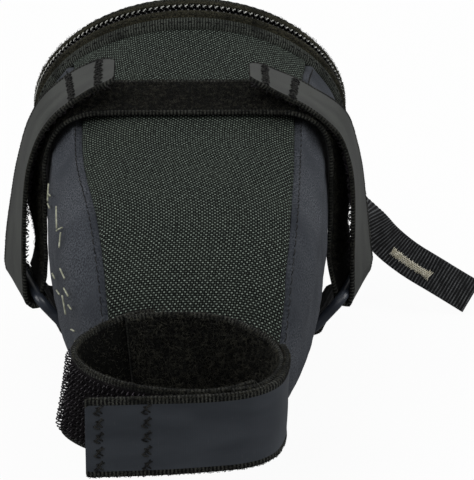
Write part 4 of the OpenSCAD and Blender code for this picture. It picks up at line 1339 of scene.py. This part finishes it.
def post_seat():
    """The folded strap ends sewn to the nose, behind the far wall."""
    levels = np.linspace(0, 1, 14)
    z = POST_TOP - 3 - levels * (POST_W - 4)
    wall_y = np.interp(levels, [0, 1], [-90.4, -102.4]) + 1.0
    nose_y = np.interp(-z, [12, 17.3, 28, 38, 44], [-85.2, -90.4, -98, -101.3, -102])
    rings = []
    for y0, y1, height in zip(wall_y, nose_y, z):
        half = 12 - 1.5 * abs(height - POST_MID) / 10
        mid, deep = (y0 + y1) / 2, max((y1 - y0) / 2, 0.35)
        shape = oval(1, 1, 5, 36)
        rings.append(np.stack([-3 + half * shape[:, 0], mid + deep * shape[:, 1], np.full(36, height)], 1))
    data = loft(np.array(rings))
    points = data[0]
    uv = np.stack([points[:, 0], points[:, 2]], 1)
    piece("post_strap_root", data, WEB_BLACK, "bag", ["post_strap_seat"], uv=uv)


post_seat()

# ---- Lamp loop ----

LOOP_LINE = [(-21, 11.7), (-16, 11.6), (-12.6, 11.9), (-10, 13.6), (-8, 15), (0, 15.3), (8, 15),
             (10, 13.6), (12.6, 11.9), (16, 11.6), (21, 11.7)]


def lamp_loop():
    """Webbing loop on the rear for a clip-on lamp, bar-tacked at both ends."""
    flat = spline(LOOP_LINE, 6)
    path = from_zip(np.stack([flat[:, 0], np.full(len(flat), -4.0), flat[:, 1]], 1))
    across = unit(from_zip([0, 1, 0]) - ZIP_CENTRE)
    loop = Band(path, across, 0.45)
    data, uv, parts = loop.mesh(20, 1.1, ends=(1, 1), relief=selvedge(20, 0.1))
    piece("lamp_loop_band", data, (WEB_BLACK, WEB_BLACK, SELVEDGE), "flap", ["light_loop"],
          uv=uv, parts=parts)
    face = 1 if loop.out[5] @ unit(from_zip([0, 0, 1]) - ZIP_CENTRE) > 0 else -1
    t = np.linspace(-0.5, 0.5, 5)
    rows = []
    for s0 in (3.2, loop.s[-1] - 3.2):
        for i, v0 in enumerate(np.linspace(-8.6, 8.6, 30)):
            lean = 0.5 if i % 2 else -0.5
            rows.append(loop.at(s0 + 2.0 * t, v0 + lean * t, face * (0.5 + 0.28 * np.cos(np.pi * t))))
    piece("lamp_loop_thread", threads(np.array(rows), 0.17), DARK_THREAD, "flap")


lamp_loop()


# ---- Floor, light and camera ----

CAMERA_FAR = 1050
CAMERA_TILT = math.radians(25)
CAMERA_LENS = 304
CAMERA_TURN = math.radians(0.735), math.radians(1.965)


def floor():
    """A plain white floor under the object, which the camera sees evenly lit."""
    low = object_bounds()[0].z / MM - 0.5
    mesh = bpy.data.meshes.new("floor")
    far = 9000
    corners = np.array([(-far, -far, low), (far, -far, low), (far, far, low), (-far, far, low)])
    mesh.from_pydata((corners * MM).tolist(), [], [(0, 1, 2, 3)])
    look = Look("floor_paint", roughness=0.95, gloss=0)
    seen = look.node("ShaderNodeLightPath").outputs["Is Camera Ray"]
    look.put(look.shader.inputs["Emission Color"], rgb(255, 255, 255))
    look.put(look.shader.inputs["Emission Strength"], look.calc("MULTIPLY", seen, 0.94))
    mesh.materials.append(look.finish(look.mix(seen, rgb(120, 120, 120), rgb(70, 70, 70))))
    obj = bpy.data.objects.new("floor", mesh)
    bpy.context.scene.collection.objects.link(obj)
    obj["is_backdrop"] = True


def area(name, place, target, size, watts):
    light = bpy.data.lights.new(name, "AREA")
    light.energy, light.size, light.shape = watts, size, "DISK"
    obj = bpy.data.objects.new(name, light)
    obj.location = place
    way = np.array(target) - np.array(place)
    obj.rotation_euler = facing(way)
    bpy.context.scene.collection.objects.link(obj)


def facing(way):
    """Turns that point -Z along a direction."""
    x, y, z = unit(way)
    return (math.acos(-z), 0, math.atan2(-x, y) if abs(x) + abs(y) > 1e-6 else 0)


floor()
world = bpy.data.worlds.new("studio")
world.use_nodes = True
world.node_tree.nodes["Background"].inputs[0].default_value = (1, 1, 1, 1)
path = world.node_tree.nodes.new("ShaderNodeLightPath")
level = world.node_tree.nodes.new("ShaderNodeMapRange")
level.inputs[3].default_value, level.inputs[4].default_value = 0.3, 0.96
world.node_tree.links.new(path.outputs["Is Camera Ray"], level.inputs[0])
world.node_tree.links.new(level.outputs[0], world.node_tree.nodes["Background"].inputs[1])
bpy.context.scene.world = world
area("key", (-0.5, -0.7, 1.3), (0, -0.02, -0.03), 0.9, 6.5)
area("fill", (0.9, -0.9, 0.5), (0, 0, -0.03), 1.0, 2.2)
area("top", (0.1, 0.5, 1.2), (0, 0, 0), 0.7, 3)
area("left side", (-1.3, 0.1, 0.15), (0, 0, -0.03), 0.9, 7)
area("right side", (1.3, 0.1, 0.25), (0, 0, -0.03), 0.9, 6)

camera = bpy.data.objects.new("camera", bpy.data.cameras.new("camera"))
camera.data.lens = CAMERA_LENS
camera.data.sensor_width = 36
camera.location = (0, -CAMERA_FAR * MM * math.cos(CAMERA_TILT), CAMERA_FAR * MM * math.sin(CAMERA_TILT))
camera.rotation_euler = (math.pi / 2 - CAMERA_TILT - CAMERA_TURN[1], 0, -CAMERA_TURN[0])
camera.data.clip_start, camera.data.clip_end = 0.05, 20
bpy.context.scene.collection.objects.link(camera)
bpy.context.scene.camera = camera
bpy.context.scene.view_settings.view_transform = "Standard"
